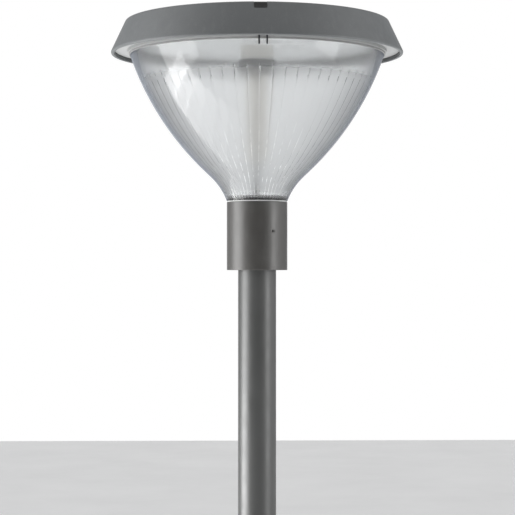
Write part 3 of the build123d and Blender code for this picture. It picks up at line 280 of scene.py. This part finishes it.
ACRYLIC_IOR = 1.49
THICK_TINT_AND_SHADE = (0.13, 0.15, 0.18)  # clear plastic seen edge on: partly the tint of a long way through it, partly painted shade that darkens the outline
THICK_SPAN = (0.38, 0.90)  # how far edge on the wall is seen where that begins and where it is full
FLUTED_SHADE = (0.64, 0.645, 0.65)  # painted shade: the fluted part is darkened towards the neck
EDGE_SHADE = (0.11, 0.125, 0.15)  # painted shade: the dark line round the outline of a thick clear wall
EDGE_SPAN = (0.60, 0.92, 0, 0.72)  # how far edge on that line begins and is full, and its strength at each
HAZE = 0.18  # how much rougher than the clear part the fluted part is
HAZE_RISE = 0.03  # height over which the haze comes in at the foot
HAZE_EDGE = 0.006  # half the height over which it ends at the top
LINE_HIGHLIGHT = 0.7  # painted highlight: emission on the lines between the flutes, standing in for the light they catch
LINE_TOP = 0.16  # height over the foot of the haze at which the lines begin to show
LINE_FULL = 0.05  # height over it at which they are at their brightest
LINE_WIDTH = (0.075, 0.02)  # half a line's width, and that of its bright middle, over a flute's width
LINE_BREAKS = (60, 60, 14)  # scale of the noise that breaks the lines
LINE_GAPS = (0.42, 0.62)  # noise at which a line is gone, and at which it is whole


def clear_plastic(name, tint, rough):
    """Clear moulded plastic: slightly wavy, with a faint film of dust, and a tint and painted shade where it
    is seen edge on.
    """
    g = Graph(name)
    film = g.noise(14, 6, 0.7)
    g.feed("Roughness", g.span(film, 0.4, 0.8, rough, rough + 0.05))
    g.feed("Normal", g.bump(g.noise(38, 2, 0.5), MOULDED_WAVE, 0.25))
    # edge on: partly the tint of a long path through the plastic, partly painted shade on the outline
    g.feed("Base Color", g.mix(g.span(g.facing(), *THICK_SPAN), tint, THICK_TINT_AND_SHADE))
    g.set(IOR=ACRYLIC_IOR, Transmission_Weight=1.0)
    # painted shade: a dull dark line round the outline, where the wall is seen edge on
    g.paint_shade(g.span(g.facing(), *EDGE_SPAN), EDGE_SHADE)
    return g.material


def prismatic_plastic(name, tint, low, high):
    """The bowl's inside: hazy between two heights, where it is fluted, and clear above them, with painted
    highlights glowing on the lines between the flutes and painted shade towards the neck.
    """
    g = Graph(name)
    film = g.noise(22, 5, 0.65)
    z = g.height()
    haze = g.math("MULTIPLY", g.span(z, low, low + HAZE_RISE), g.span(z, high + HAZE_EDGE, high - HAZE_EDGE))
    g.feed("Roughness", g.math("ADD", g.math("MULTIPLY", haze, HAZE), g.span(film, 0.3, 0.7, 0.11, 0.18)))
    # painted highlights: emission on the lines between the flutes, full low on the bowl and gone higher up
    painted_highlight = g.span(z, low + LINE_TOP, low + LINE_FULL, 0, LINE_HIGHLIGHT)
    g.feed("Emission Strength", g.math("MULTIPLY", g.highlight_lines(), painted_highlight))
    g.set(Emission_Color=(1.0, 1.0, 0.98, 1.0))
    g.feed("Normal", g.bump(g.noise(600, 3, 0.6), FROST_DEPTH, 0.6))
    dust_and_shade = g.mix(g.span(film, 0.35, 0.75, 0, 0.5), tint, tone(tint, 0.94))
    # painted shade: the fluted part darkens towards the neck, over the film of dust
    shaded = g.math("MULTIPLY", haze, g.span(z, high, low + HAZE_RISE, 0.3, 1.0))
    dust_and_shade = g.mix(shaded, dust_and_shade, FLUTED_SHADE, "MULTIPLY")
    # edge on: partly the tint of a long path through the plastic, partly painted shade on the outline
    g.feed("Base Color", g.mix(g.span(g.facing(), *THICK_SPAN), dust_and_shade, THICK_TINT_AND_SHADE))
    g.set(IOR=ACRYLIC_IOR, Transmission_Weight=0.77)
    return g.material


def lamp_glass_material():
    """Hard glass with a breath of dust."""
    g = Graph("lamp_glass_look")
    g.feed("Roughness", g.span(g.noise(60, 4), 0.3, 0.8, 0.01, 0.05))
    g.set(Base_Color=(0.985, 0.965, 0.93, 1.0), IOR=1.47, Transmission_Weight=1.0)
    return g.material


def board_material():
    """Resin-bonded board: brown with a paper weave."""
    g = Graph("board_look")
    weave = g.noise(1.0, 3, 0.6, g.scaled(900, 900, 120))
    g.feed("Base Color", g.mix(g.span(weave, 0.3, 0.7), (0.16, 0.075, 0.03), (0.26, 0.13, 0.055)))
    g.feed("Roughness", g.span(weave, 0.2, 0.8, 0.3, 0.5))
    g.feed("Normal", g.bump(weave, WEAVE_DEPTH, 0.5))
    return g.material


def ceramic_material(name, colour, rough):
    """Glazed ceramic: cloudy, with a few dark specks."""
    g = Graph(name)
    cloud = g.noise(45, 5, 0.6)
    base = g.mix(g.span(cloud, 0.35, 0.7), tone(colour, 0.92), colour)
    base = g.mix(g.span(g.voronoi(420), 0.0, 0.12, 0.35, 0), base, tone(colour, 0.5))
    g.feed("Base Color", base)
    g.feed("Roughness", g.span(cloud, 0.3, 0.7, rough - 0.04, rough + 0.08))
    g.feed("Normal", g.bump(g.noise(300, 2), GLAZE_DEPTH, 0.4))
    g.set(Coat_Weight=0.4, Coat_Roughness=0.12)
    return g.material


def floor_material():
    """Pale, even ground."""
    g = Graph("floor_look")
    cloud = g.noise(0.6, 5, 0.6)
    g.feed("Base Color", g.mix(g.span(cloud, 0.3, 0.7), (0.78, 0.78, 0.78), (0.83, 0.83, 0.83)))
    g.feed("Roughness", g.span(g.noise(5, 4), 0.3, 0.7, 0.6, 0.75))
    g.feed("Normal", g.bump(g.noise(300, 3), GROUND_DEPTH, 0.3))
    return g.material


looks = {
    "post_paint": paint("post_look", (0.021, 0.022, 0.021), 0.36, gloss=1.0),
    "collar_paint": paint("collar_look", (0.036, 0.034, 0.031), 0.36, gloss=0.95),
    "canopy_paint": paint("canopy_look", (0.092, 0.098, 0.101), 0.50, worn=0.12, gloss=0.65),
    "white_enamel": enamel("enamel_look", (0.88, 0.89, 0.89)),
    "gear_steel": paint("gear_look", (0.08, 0.085, 0.09), 0.5),
    "galvanised": metal("galvanised_look", (0.52, 0.54, 0.55), 0.42, (0.02, 0.02, 0.03), grime=0.4),
    "stainless": metal("stainless_look", (0.60, 0.60, 0.59), 0.28, (1, 1, 0.15)),
    "spring_steel": metal("spring_look", (0.06, 0.06, 0.065), 0.35, (0.3, 0.3, 1)),
    "dark_screws": paint("dark_screw_look", (0.085, 0.083, 0.080), 0.4),
    "gear_aluminium": metal("aluminium_look", (0.68, 0.69, 0.70), 0.32, (0.2, 1, 1), grime=0.15),
    "brass": metal("brass_look", (0.62, 0.45, 0.20), 0.3, (1, 1, 0.2)),
    "black_rubber": rubber("seal_look", (0.018, 0.018, 0.018)),
    "pale_rubber": rubber("pale_seal_look", (0.46, 0.47, 0.46), 0.6),
    "cable_sheath": rubber("sheath_look", (0.02, 0.02, 0.02), 0.5),
    "black_plastic": plastic("latch_look", (0.008, 0.008, 0.008), 0.35),
    "dark_plastic": plastic("shroud_look", (0.022, 0.022, 0.021), 0.5),
    "grey_plastic": plastic("grey_plastic_look", (0.20, 0.21, 0.22), 0.45),
    "white_plastic": plastic("white_plastic_look", (0.70, 0.70, 0.67), 0.4),
    "board_laminate": board_material(),
    "ceramic_white": ceramic_material("porcelain_look", (0.80, 0.78, 0.73), 0.2),
    "burner_ceramic": ceramic_material("burner_look", (0.78, 0.72, 0.62), 0.4),
    "clear_bowl": clear_plastic("bowl_look", (0.95, 0.96, 0.965), 0.08),
    "lamp_glass": lamp_glass_material(),
}
HAZE_LOW, FLUTE_HIGH = -5 * MM, 246 * MM  # from the neck, as are the other heights on the bowl
haze_low, haze_high = neck_z + HAZE_LOW, neck_z + FLUTE_HIGH
bowl_inside = prismatic_plastic("bowl_inside_look", (0.94, 0.95, 0.955), haze_low, haze_high)


# ---------------------------------------------------------------- mesh helpers
def make_mesh(name, verts, faces, material, sharp):
    """A new piece with one material, its edges kept sharp over an angle in degrees."""
    mesh = bpy.data.meshes.new(name)
    mesh.from_pydata(verts, [], faces)
    mesh.validate()
    mesh.materials.append(material)
    obj = bpy.data.objects.new(name, mesh)
    bpy.context.scene.collection.objects.link(obj)
    shade(mesh, sharp)
    return obj


def shade(mesh, sharp):
    """Smooth shading with edges kept sharp over an angle in degrees."""
    mesh.polygons.foreach_set("use_smooth", [True] * len(mesh.polygons))
    mesh.set_sharp_from_angle(angle=math.radians(sharp))
    mesh.update()


LATHE_SEGMENTS = 360
LATHE_SHARP = 40
ON_AXIS = 1e-7


def lathe(name, profile, material):
    """Turns a closed outline of (radius, z) points, drawn anticlockwise in the XZ plane, about the Z axis."""
    rings, verts, faces = [], [], []
    for r, z in profile:
        if r < ON_AXIS:
            rings.append([len(verts)] * LATHE_SEGMENTS)
            verts.append((0, 0, z))
            continue
        rings.append(list(range(len(verts), len(verts) + LATHE_SEGMENTS)))
        for i in range(LATHE_SEGMENTS):
            a = 2 * math.pi * i / LATHE_SEGMENTS
            verts.append((r * math.cos(a), r * math.sin(a), z))
    for k in range(len(rings)):
        low, high = rings[k], rings[(k + 1) % len(rings)]
        for i in range(LATHE_SEGMENTS):
            j = (i + 1) % LATHE_SEGMENTS
            face = [low[i], low[j], high[j], high[i]]
            face = [v for n, v in enumerate(face) if v != face[n - 1]]
            if len(face) > 2:
                faces.append(face)
    return make_mesh(name, verts, faces, material, LATHE_SHARP)


LONGEST_CUT = 0.49  # share of a side that one rounded corner may take


def rounded(points, steps):
    """An outline whose corners (r, z, radius) are rounded with short curves."""
    out = []
    count = len(points)
    for i, (r, z, radius) in enumerate(points):
        here = Vector((r, z))
        if radius <= 0:
            out.append((r, z))
            continue
        before = Vector(points[i - 1][:2]) - here
        after = Vector(points[(i + 1) % count][:2]) - here
        turn = before.angle(after)
        cut = min(radius / math.tan(turn / 2), before.length * LONGEST_CUT, after.length * LONGEST_CUT)
        a, b = here + before.normalized() * cut, here + after.normalized() * cut
        for k in range(steps + 1):
            t = k / steps
            p = a * (1 - t) ** 2 + here * 2 * t * (1 - t) + b * t**2
            out.append((p.x, p.y))
    return out


def finish_piece(obj, body, replaced):
    """Puts a piece on its body, in the place of one CAD node."""
    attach(obj, body)
    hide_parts(replaced)


# ---------------------------------------------------------------- CAD nodes that stay
CAD_SHARP = 28.0
slots = {part["node"]: part["material_slot"] for part in frame["record"]["subparts"]}
for node_name, obj in nodes.items():
    obj.data.materials.clear()
    obj.data.materials.append(looks[slots[node_name]])
    shade(obj.data, CAD_SHARP)
nodes["rim_ring"].data.materials[0] = enamel("ring_look", (0.30, 0.305, 0.305), 0.4)


# ---------------------------------------------------------------- bowl
WALL = 3.0 * MM
FLUTE_LOW = 24 * MM
FLUTE_RISE = 16 * MM  # height over which the flutes deepen at their foot
FLUTE_RUNOUT = 5 * MM  # height over which they end at the top
HOLLOW = 0.005  # depth of a flute over its width
RIB = 0.10 * MM  # height of the rounded rib between two flutes
RIB_END = 0.95 * MM  # its height over the last stretch at the top
RIB_SHARE = 0.034  # half the rib's width over a flute's
RIB_GROWS, RIB_GROWN = FLUTE_HIGH - 22 * MM, FLUTE_HIGH - 15 * MM  # where it takes that height
STEPS = (0.0, 0.012, 0.024, 0.034, 0.12, 0.3, 0.5, 0.7, 0.88, 0.966, 0.976, 0.988)  # columns over one flute
FLARE = math.radians(46.4)  # from vertical, where the wall opens out most
WAIST_RADIUS, WAIST_HEIGHT = 92.4 * MM, 50 * MM  # where the curve up from the neck ends
STRAIGHT = 19 * MM  # of wall that follows it
FOOT_STEPS, STRAIGHT_STEPS, BODY_STEPS = 16, 4, 60
RIM_EASE = 0.8 * MM  # the rim's rounded edges
RIM_BAND = 2 * MM  # height over the seal's outer lip from which the outside is upright
SLANT = 1.06  # the wall's width across the sloping rim, over its thickness
RIM_INSIDE = rim_radius - WALL * SLANT
FLANGE_HEIGHT, FLANGE_WIDTH = 3.5 * MM, 9 * MM  # the ring inside the neck that the clamp holds
FLANGE_EASE = 0.5 * MM
FOOT_EASE = 0.4 * MM
BOWL_SHARP = 60.0
LEVEL = 1e-6  # sweep of an arc that is taken as straight


def arc(a, b, start_angle, steps):
    """Points of the arc from a to b that leaves a at this angle from vertical, with each one's angle."""
    chord = math.atan2(b[0] - a[0], b[1] - a[1])
    sweep = 2 * (chord - start_angle)
    if abs(sweep) < LEVEL:
        across, up = b[0] - a[0], b[1] - a[1]
        return [(a[0] + across * k / steps, a[1] + up * k / steps, chord) for k in range(steps + 1)]
    length = math.dist(a, b)
    radius = length / (2 * math.sin(sweep / 2))
    out = []
    for k in range(steps + 1):
        t = start_angle + sweep * k / steps
        r = a[0] + radius * (math.cos(start_angle) - math.cos(t))
        z = a[1] + radius * (math.sin(t) - math.sin(start_angle))
        out.append((r, z, t))
    return out


def bowl_profile():
    """(radius, z, angle from vertical) up the outside of the bowl."""
    foot = (collar_radius, bowl_low.z)
    neck = (WAIST_RADIUS, neck_z + WAIST_HEIGHT)
    body = (neck[0] + STRAIGHT * math.sin(FLARE), neck[1] + STRAIGHT * math.cos(FLARE))
    rim = (rim_radius, seal_low.z)
    foot_angle = 2 * math.atan2(neck[0] - foot[0], neck[1] - foot[1]) - FLARE
    points = arc(foot, neck, foot_angle, FOOT_STEPS)
    points += arc(neck, body, FLARE, STRAIGHT_STEPS)[1:]
    points += arc(body, rim, FLARE, BODY_STEPS)[1:]
    return points


def smooth_step(x, low, high):
    """0 up to low, 1 from high on, and a smooth rise between them."""
    t = min(1.0, max(0.0, (x - low) / (high - low)))
    return t * t * (3 - 2 * t)


def flute_lift(step, rib):
    """How far the inside stands in over the bottom of a flute, at a share of its width: (hollow, rib)."""
    hollow = 1 - 4 * step * (1 - step)
    near = min(step, 1 - step) / RIB_SHARE
    return hollow, rib * math.sqrt(max(0.0, 1 - near**2))


def make_bowl():
    """The bowl as one closed wall: smooth outside, fluted inside up to the clear band under the rim."""
    outside = bowl_profile()
    turns = [flute + step for flute in range(FLUTES) for step in STEPS]
    angles = [2 * math.pi * turn / FLUTES - math.pi / 2 for turn in turns]
    columns = len(angles)
    cosines, sines = [math.cos(a) for a in angles], [math.sin(a) for a in angles]
    top = bowl_high.z
    flange_top = bowl_low.z + FLANGE_HEIGHT
    verts = []

    def ring(r, z, pitch=0.0, rib=0.0, angle=0.0):
        for j in range(columns):
            hollow, ridge = flute_lift(STEPS[j % len(STEPS)], rib)
            lift = hollow * pitch * HOLLOW + ridge
            across = r - lift * math.cos(angle)
            verts.append((across * cosines[j], across * sines[j], z + lift * math.sin(angle)))

    for r, z, _ in outside:
        ring(r, z)
    ring(rim_radius, seal_low.z + RIM_BAND)
    ring(rim_radius, top - RIM_EASE)
    ring(rim_radius - RIM_EASE, top)
    first_inside = len(verts) // columns
    ring(RIM_INSIDE + RIM_EASE, top)
    ring(RIM_INSIDE, top - RIM_EASE)
    for outer_r, outer_z, angle in reversed(outside):
        r = outer_r - WALL * math.cos(angle)
        z = outer_z + WALL * math.sin(angle)
        if z < flange_top + WALL / 2:
            continue
        height = z - neck_z
        fade = smooth_step(height, FLUTE_LOW, FLUTE_LOW + FLUTE_RISE)
        fade *= 1 - smooth_step(height, FLUTE_HIGH - FLUTE_RUNOUT, FLUTE_HIGH)
        rib = RIB + (RIB_END - RIB) * smooth_step(height, RIB_GROWS, RIB_GROWN)
        ring(r, z, fade * 2 * math.pi * r / FLUTES, fade * rib, angle)
    last_inside = len(verts) // columns
    flange = collar_radius - WALL - FLANGE_WIDTH
    ring(collar_radius - WALL - 2 * FLANGE_EASE, flange_top)
    ring(flange + FLANGE_EASE, flange_top)
    ring(flange, flange_top - FLANGE_EASE)
    ring(flange, bowl_low.z + FOOT_EASE)
    ring(flange + FOOT_EASE, bowl_low.z)
    ring(collar_radius - FLANGE_EASE, bowl_low.z)
    rings = len(verts) // columns
    faces = []
    for k in range(rings):
        a, b = k * columns, ((k + 1) % rings) * columns
        for j in range(columns):
            i = (j + 1) % columns
            faces.append((a + j, a + i, b + i, b + j))
    obj = make_mesh("fluted_bowl", verts, faces, looks["clear_bowl"], BOWL_SHARP)
    obj.data.materials.append(bowl_inside)
    inside = range(first_inside * columns, last_inside * columns)
    obj.data.polygons.foreach_set("material_index", [int(k in inside) for k in range(len(faces))])
    return obj


finish_piece(make_bowl(), "post", "bowl")


# ---------------------------------------------------------------- canopy
SHEET = 2.5 * MM
SHEET_SLANT = 1.1  # the sheet's width across the sloping wall, over its thickness
CANOPY_HEIGHT = 65.4 * MM  # hem to roof edge
ROOF_RADIUS = 262.6 * MM
ROOF_EDGE = canopy_low.z + CANOPY_HEIGHT
ROOF_RISE = canopy_high.z - canopy_low.z - CANOPY_HEIGHT
ROOF_SHARES = (0.96, 0.9, 0.8, 0.65, 0.5, 0.35, 0.2, 0.08, 0)  # of its radius
ROOF_LEAD = 40 * MM  # run of roof that the rounding of its edge turns towards
HEM_WIDTH, HEM_HEIGHT = 6 * MM, 8 * MM
WIDEST = 4 * MM  # height over the hem where the canopy is widest
CEILING_EDGE, CEILING_RISE = 4 * MM, 0.2 * MM  # the underside's start, in from the wall's corner and up
NOTCH_HALF = 12.5 * MM
NOTCH_FRONT, NOTCH_BACK = 5 * MM, 11 * MM  # beyond the hem and behind the roof's edge
NOTCH_BELOW, NOTCH_ABOVE = 13 * MM, 20 * MM  # from the roof's edge
NOTCH_EASE = 1.2 * MM


def dome(r):
    """Height of the roof's outside at a radius."""
    sphere = (ROOF_RADIUS**2 + ROOF_RISE**2) / (2 * ROOF_RISE)
    return ROOF_EDGE + ROOF_RISE - sphere + math.sqrt(sphere**2 - r**2)


def canopy_profile():
    """The canopy's closed outline: up the wall, in over the roof, and back under both to the rolled hem."""
    low = canopy_low.z
    hem_inside = canopy_radius - HEM_WIDTH
    slope = (canopy_radius - ROOF_RADIUS) / (ROOF_EDGE - low - WIDEST)
    ceiling = ROOF_RADIUS - SHEET * SHEET_SLANT
    ceiling_start = (ceiling - CEILING_EDGE, ROOF_EDGE - SHEET + CEILING_RISE)
    wall_foot = canopy_radius - SHEET * SHEET_SLANT - (HEM_HEIGHT - WIDEST) * slope
    roof_start = ROOF_RADIUS - ROOF_LEAD
    outer = rounded(
        [
            (hem_inside, low, 1.6 * MM),
            (canopy_radius - 0.6 * MM, low, 2.8 * MM),
            (canopy_radius, low + WIDEST, 5.0 * MM),
            (ROOF_RADIUS, ROOF_EDGE, 6.0 * MM),
            (roof_start, dome(roof_start), 0),
        ],
        8,
    )[:-1]
    roof = [(ROOF_RADIUS * t, dome(ROOF_RADIUS * t)) for t in ROOF_SHARES]
    under = [(r, z - SHEET) for r, z in reversed(roof)]
    under[-1] = ceiling_start
    inner = rounded(
        [
            (*ceiling_start, 0),
            (ceiling, ROOF_EDGE - SHEET, 3 * MM),
            (wall_foot, low + HEM_HEIGHT, 1 * MM),
            (hem_inside, low + HEM_HEIGHT, 1.2 * MM),
            (hem_inside, low, 0),
        ],
        4,
    )[1:-1]
    return outer + roof + under + inner


def notch_tool():
    """A block with eased edges along Y, in the place of the notch for the latch."""
    front, back = -canopy_radius - NOTCH_FRONT, -ROOF_RADIUS + NOTCH_BACK
    below, above = ROOF_EDGE - NOTCH_BELOW, ROOF_EDGE + NOTCH_ABOVE
    mesh = bpy.data.meshes.new("notch_cutter")
    bm = bmesh.new()
    bmesh.ops.create_cube(bm, size=1.0)
    for v in bm.verts:
        x = v.co.x * 2 * NOTCH_HALF
        y = front + (v.co.y + 0.5) * (back - front)
        z = below + (v.co.z + 0.5) * (above - below)
        v.co = Vector((x, y, z))
    along = [e for e in bm.edges if abs((e.verts[0].co - e.verts[1].co).normalized().y) > 0.9]
    bmesh.ops.bevel(bm, geom=along, offset=NOTCH_EASE, segments=4, affect="EDGES")
    bm.to_mesh(mesh)
    bm.free()
    tool = bpy.data.objects.new("notch_cutter", mesh)
    bpy.context.scene.collection.objects.link(tool)
    return tool


def apply_modifiers(obj):
    """Gives the object the mesh that its modifiers make."""
    bpy.context.view_layer.update()
    evaluated = obj.evaluated_get(bpy.context.evaluated_depsgraph_get())
    mesh = bpy.data.meshes.new_from_object(evaluated)
    obj.modifiers.clear()
    obj.data = mesh


def make_canopy():
    """The canopy's sheet with the latch's notch cut in its front edge."""
    obj = lathe("canopy_cover", canopy_profile(), looks["canopy_paint"])
    tool = notch_tool()
    modifier = obj.modifiers.new("notch", "BOOLEAN")
    modifier.object = tool
    modifier.operation = "DIFFERENCE"
    modifier.solver = "EXACT"
    apply_modifiers(obj)
    bpy.data.objects.remove(tool)
    shade(obj.data, LATHE_SHARP)
    return obj


finish_piece(make_canopy(), "canopy", "canopy_shell")


# ---------------------------------------------------------------- rim seal
SEAL_STAND = 2.45 * MM  # how far the channel stands out past the bowl's wall on each side
SEAL_GAP = 0.05 * MM  # between the channel and the wall
SEAL_INNER_LIP = 8 * MM  # how much higher the inner lip ends than the outer one


def make_rim_seal():
    """The rubber channel over the bowl's rim, with a longer lip outside."""
    low, high = seal_low.z, seal_high.z
    inner, outer = rim_radius - WALL - SEAL_STAND, rim_radius + SEAL_STAND
    groove_inner, groove_outer = RIM_INSIDE - SEAL_GAP, rim_radius + SEAL_GAP
    groove_top = bowl_high.z + SEAL_GAP
    profile = rounded(
        [
            (groove_outer, low, 0.5 * MM),
            (outer, low, 1.0 * MM),
            (outer, high, 0.8 * MM),
            (inner, high, 0.8 * MM),
            (inner, low + SEAL_INNER_LIP, 0.8 * MM),
            (groove_inner, low + SEAL_INNER_LIP, 0.5 * MM),
            (groove_inner, groove_top, 0),
            (groove_outer, groove_top, 0),
        ],
        4,
    )
    return lathe("rim_seal_channel", profile, rubber("rim_seal_look", (0.19, 0.192, 0.19)))


finish_piece(make_rim_seal(), "post", "rim_seal")


# ---------------------------------------------------------------- camera
EYE_DROP = 0.140  # below the collar's top
CAMERA_DISTANCE = 3.30
CAMERA_TURN = math.radians(-1.4)  # the camera stands a little to the left of the front
CAMERA_PITCH = math.radians(0.507)
CAMERA_PAN = math.radians(-0.014)
SENSOR = 36.0
LENS = 115.34
FAR_CLIP = 200.0

camera_data = bpy.data.cameras.new("camera")
camera_data.sensor_width = SENSOR
camera_data.lens = LENS
camera_data.clip_end = FAR_CLIP
camera = bpy.data.objects.new("camera", camera_data)
bpy.context.scene.collection.objects.link(camera)
camera.location = (
    CAMERA_DISTANCE * math.sin(CAMERA_TURN),
    -CAMERA_DISTANCE * math.cos(CAMERA_TURN),
    neck_z - EYE_DROP,
)
camera.rotation_euler = (math.pi / 2 + CAMERA_PITCH, 0, CAMERA_TURN + CAMERA_PAN)
bpy.context.scene.camera = camera


# ---------------------------------------------------------------- studio
def area_light(name, location, target, width, height, watts, level=True):
    """A rectangular light that faces target; level keeps its width in the horizontal plane."""
    data = bpy.data.lights.new(name, "AREA")
    data.shape = "RECTANGLE"
    data.size, data.size_y = width, height
    data.energy = watts
    obj = bpy.data.objects.new(name, data)
    bpy.context.scene.collection.objects.link(obj)
    back = (Vector(location) - Vector(target)).normalized()
    side = Vector((0, 0, 1)).cross(back) if level else Vector((0, 1, 0))
    side = (side - back * side.dot(back)).normalized()
    turn = Matrix((side, back.cross(side), back)).transposed()
    obj.matrix_world = Matrix.Translation(location) @ turn.to_4x4()
    obj.visible_camera = False
    obj.visible_transmission = False
    return obj


area_light("left_softbox", location=(-2.5, -0.5, 3.75), target=(0, 0, 3.6), width=1.9, height=3.0, watts=62)
area_light("right_softbox", location=(2.35, -1.1, 3.75), target=(0, 0, 3.5), width=1.2, height=2.6, watts=22)

FILL_SIZE = 5.6
FILL_WATTS = 310
FILL_PLACE, FILL_TARGET = (0, 0, 0.5 * MM), (0, 0, 3.0)  # just over the floor, facing up
low_fill = area_light("low_fill", FILL_PLACE, FILL_TARGET, FILL_SIZE, FILL_SIZE, FILL_WATTS, level=False)
low_fill.visible_glossy = False
low_fill.visible_transmission = True

# a card low on the left, in strips that fade and drop towards the middle
CARD_STRIPS = 6
CARD_WIDTH, CARD_LENGTH = 0.24, 1.0
CARD_WATTS = 3.6
CARD_LEFT, CARD_BACK, CARD_HEIGHT = -1.70, 0.52, 2.95
CARD_BACK_STEP, CARD_DROP = 0.06, 0.09
CARD_TARGET_HEIGHT = 3.70
for strip in range(CARD_STRIPS):
    left = CARD_LEFT + CARD_WIDTH * strip
    middle = CARD_BACK - CARD_BACK_STEP * strip - CARD_LENGTH / 2
    place = (left, middle, CARD_HEIGHT - CARD_DROP * strip)
    target = (0, middle, CARD_TARGET_HEIGHT)
    watts = CARD_WATTS * (1 - strip / CARD_STRIPS)
    area_light(f"card_{strip}", place, target, CARD_LENGTH, CARD_WIDTH, watts, level=False)


WORLD_STRENGTH = 1.3
FRONT_GLOW = (0.055, 0.056, 0.058)
BACK_GLOW = (1.0, 1.0, 1.0)
# from the front (0) round the sides (0.5) to the back (1)
ROOM_STOPS = (
    (0.5, (1.0, 1.0, 1.0)),
    (0.88, (0.26, 0.268, 0.28)),
    (0.965, (0.46, 0.46, 0.465)),
    (0.992, (0.97, 0.97, 0.97)),
)


def studio_world():
    """A white backdrop for the camera, in a room dim in front and bright at the sides and right behind."""
    world = bpy.data.worlds.new("studio")
    world.use_nodes = True
    tree = world.node_tree
    tree.nodes.clear()

    def node(kind):
        return tree.nodes.new(f"ShaderNode{kind}")

    out, backdrop, room, pick = node("OutputWorld"), node("Background"), node("Background"), node("MixShader")
    rays, place, split = node("LightPath"), node("TexCoord"), node("SeparateXYZ")
    remap, ramp = node("MapRange"), node("ValToRGB")
    backdrop.inputs["Color"].default_value = (1, 1, 1, 1)
    remap.inputs["From Min"].default_value = -1.0
    room.inputs["Strength"].default_value = WORLD_STRENGTH
    ramp.color_ramp.elements[0].color = (*FRONT_GLOW, 1)
    ramp.color_ramp.elements[-1].color = (*BACK_GLOW, 1)
    for position, colour in ROOM_STOPS:
        ramp.color_ramp.elements.new(position).color = (*colour, 1)
    tree.links.new(place.outputs["Generated"], split.inputs["Vector"])
    tree.links.new(split.outputs["Y"], remap.inputs["Value"])
    tree.links.new(remap.outputs["Result"], ramp.inputs["Fac"])
    tree.links.new(ramp.outputs["Color"], room.inputs["Color"])
    tree.links.new(rays.outputs["Is Camera Ray"], pick.inputs["Fac"])
    tree.links.new(room.outputs["Background"], pick.inputs[1])
    tree.links.new(backdrop.outputs["Background"], pick.inputs[2])
    tree.links.new(pick.outputs["Shader"], out.inputs["Surface"])
    return world


bpy.context.scene.world = studio_world()

FLOOR_HALF = 30.0
FLOOR_Z = -1 * MM
floor_mesh = bpy.data.meshes.new("floor")
corner_signs = ((-1, -1), (1, -1), (1, 1), (-1, 1))
floor_corners = [(x * FLOOR_HALF, y * FLOOR_HALF, FLOOR_Z) for x, y in corner_signs]
floor_mesh.from_pydata(floor_corners, [], [(0, 1, 2, 3)])
floor_mesh.materials.append(floor_material())
floor = bpy.data.objects.new("floor", floor_mesh)
bpy.context.scene.collection.objects.link(floor)

bpy.context.scene.view_settings.view_transform = "Standard"
bpy.context.scene.view_settings.look = "None"
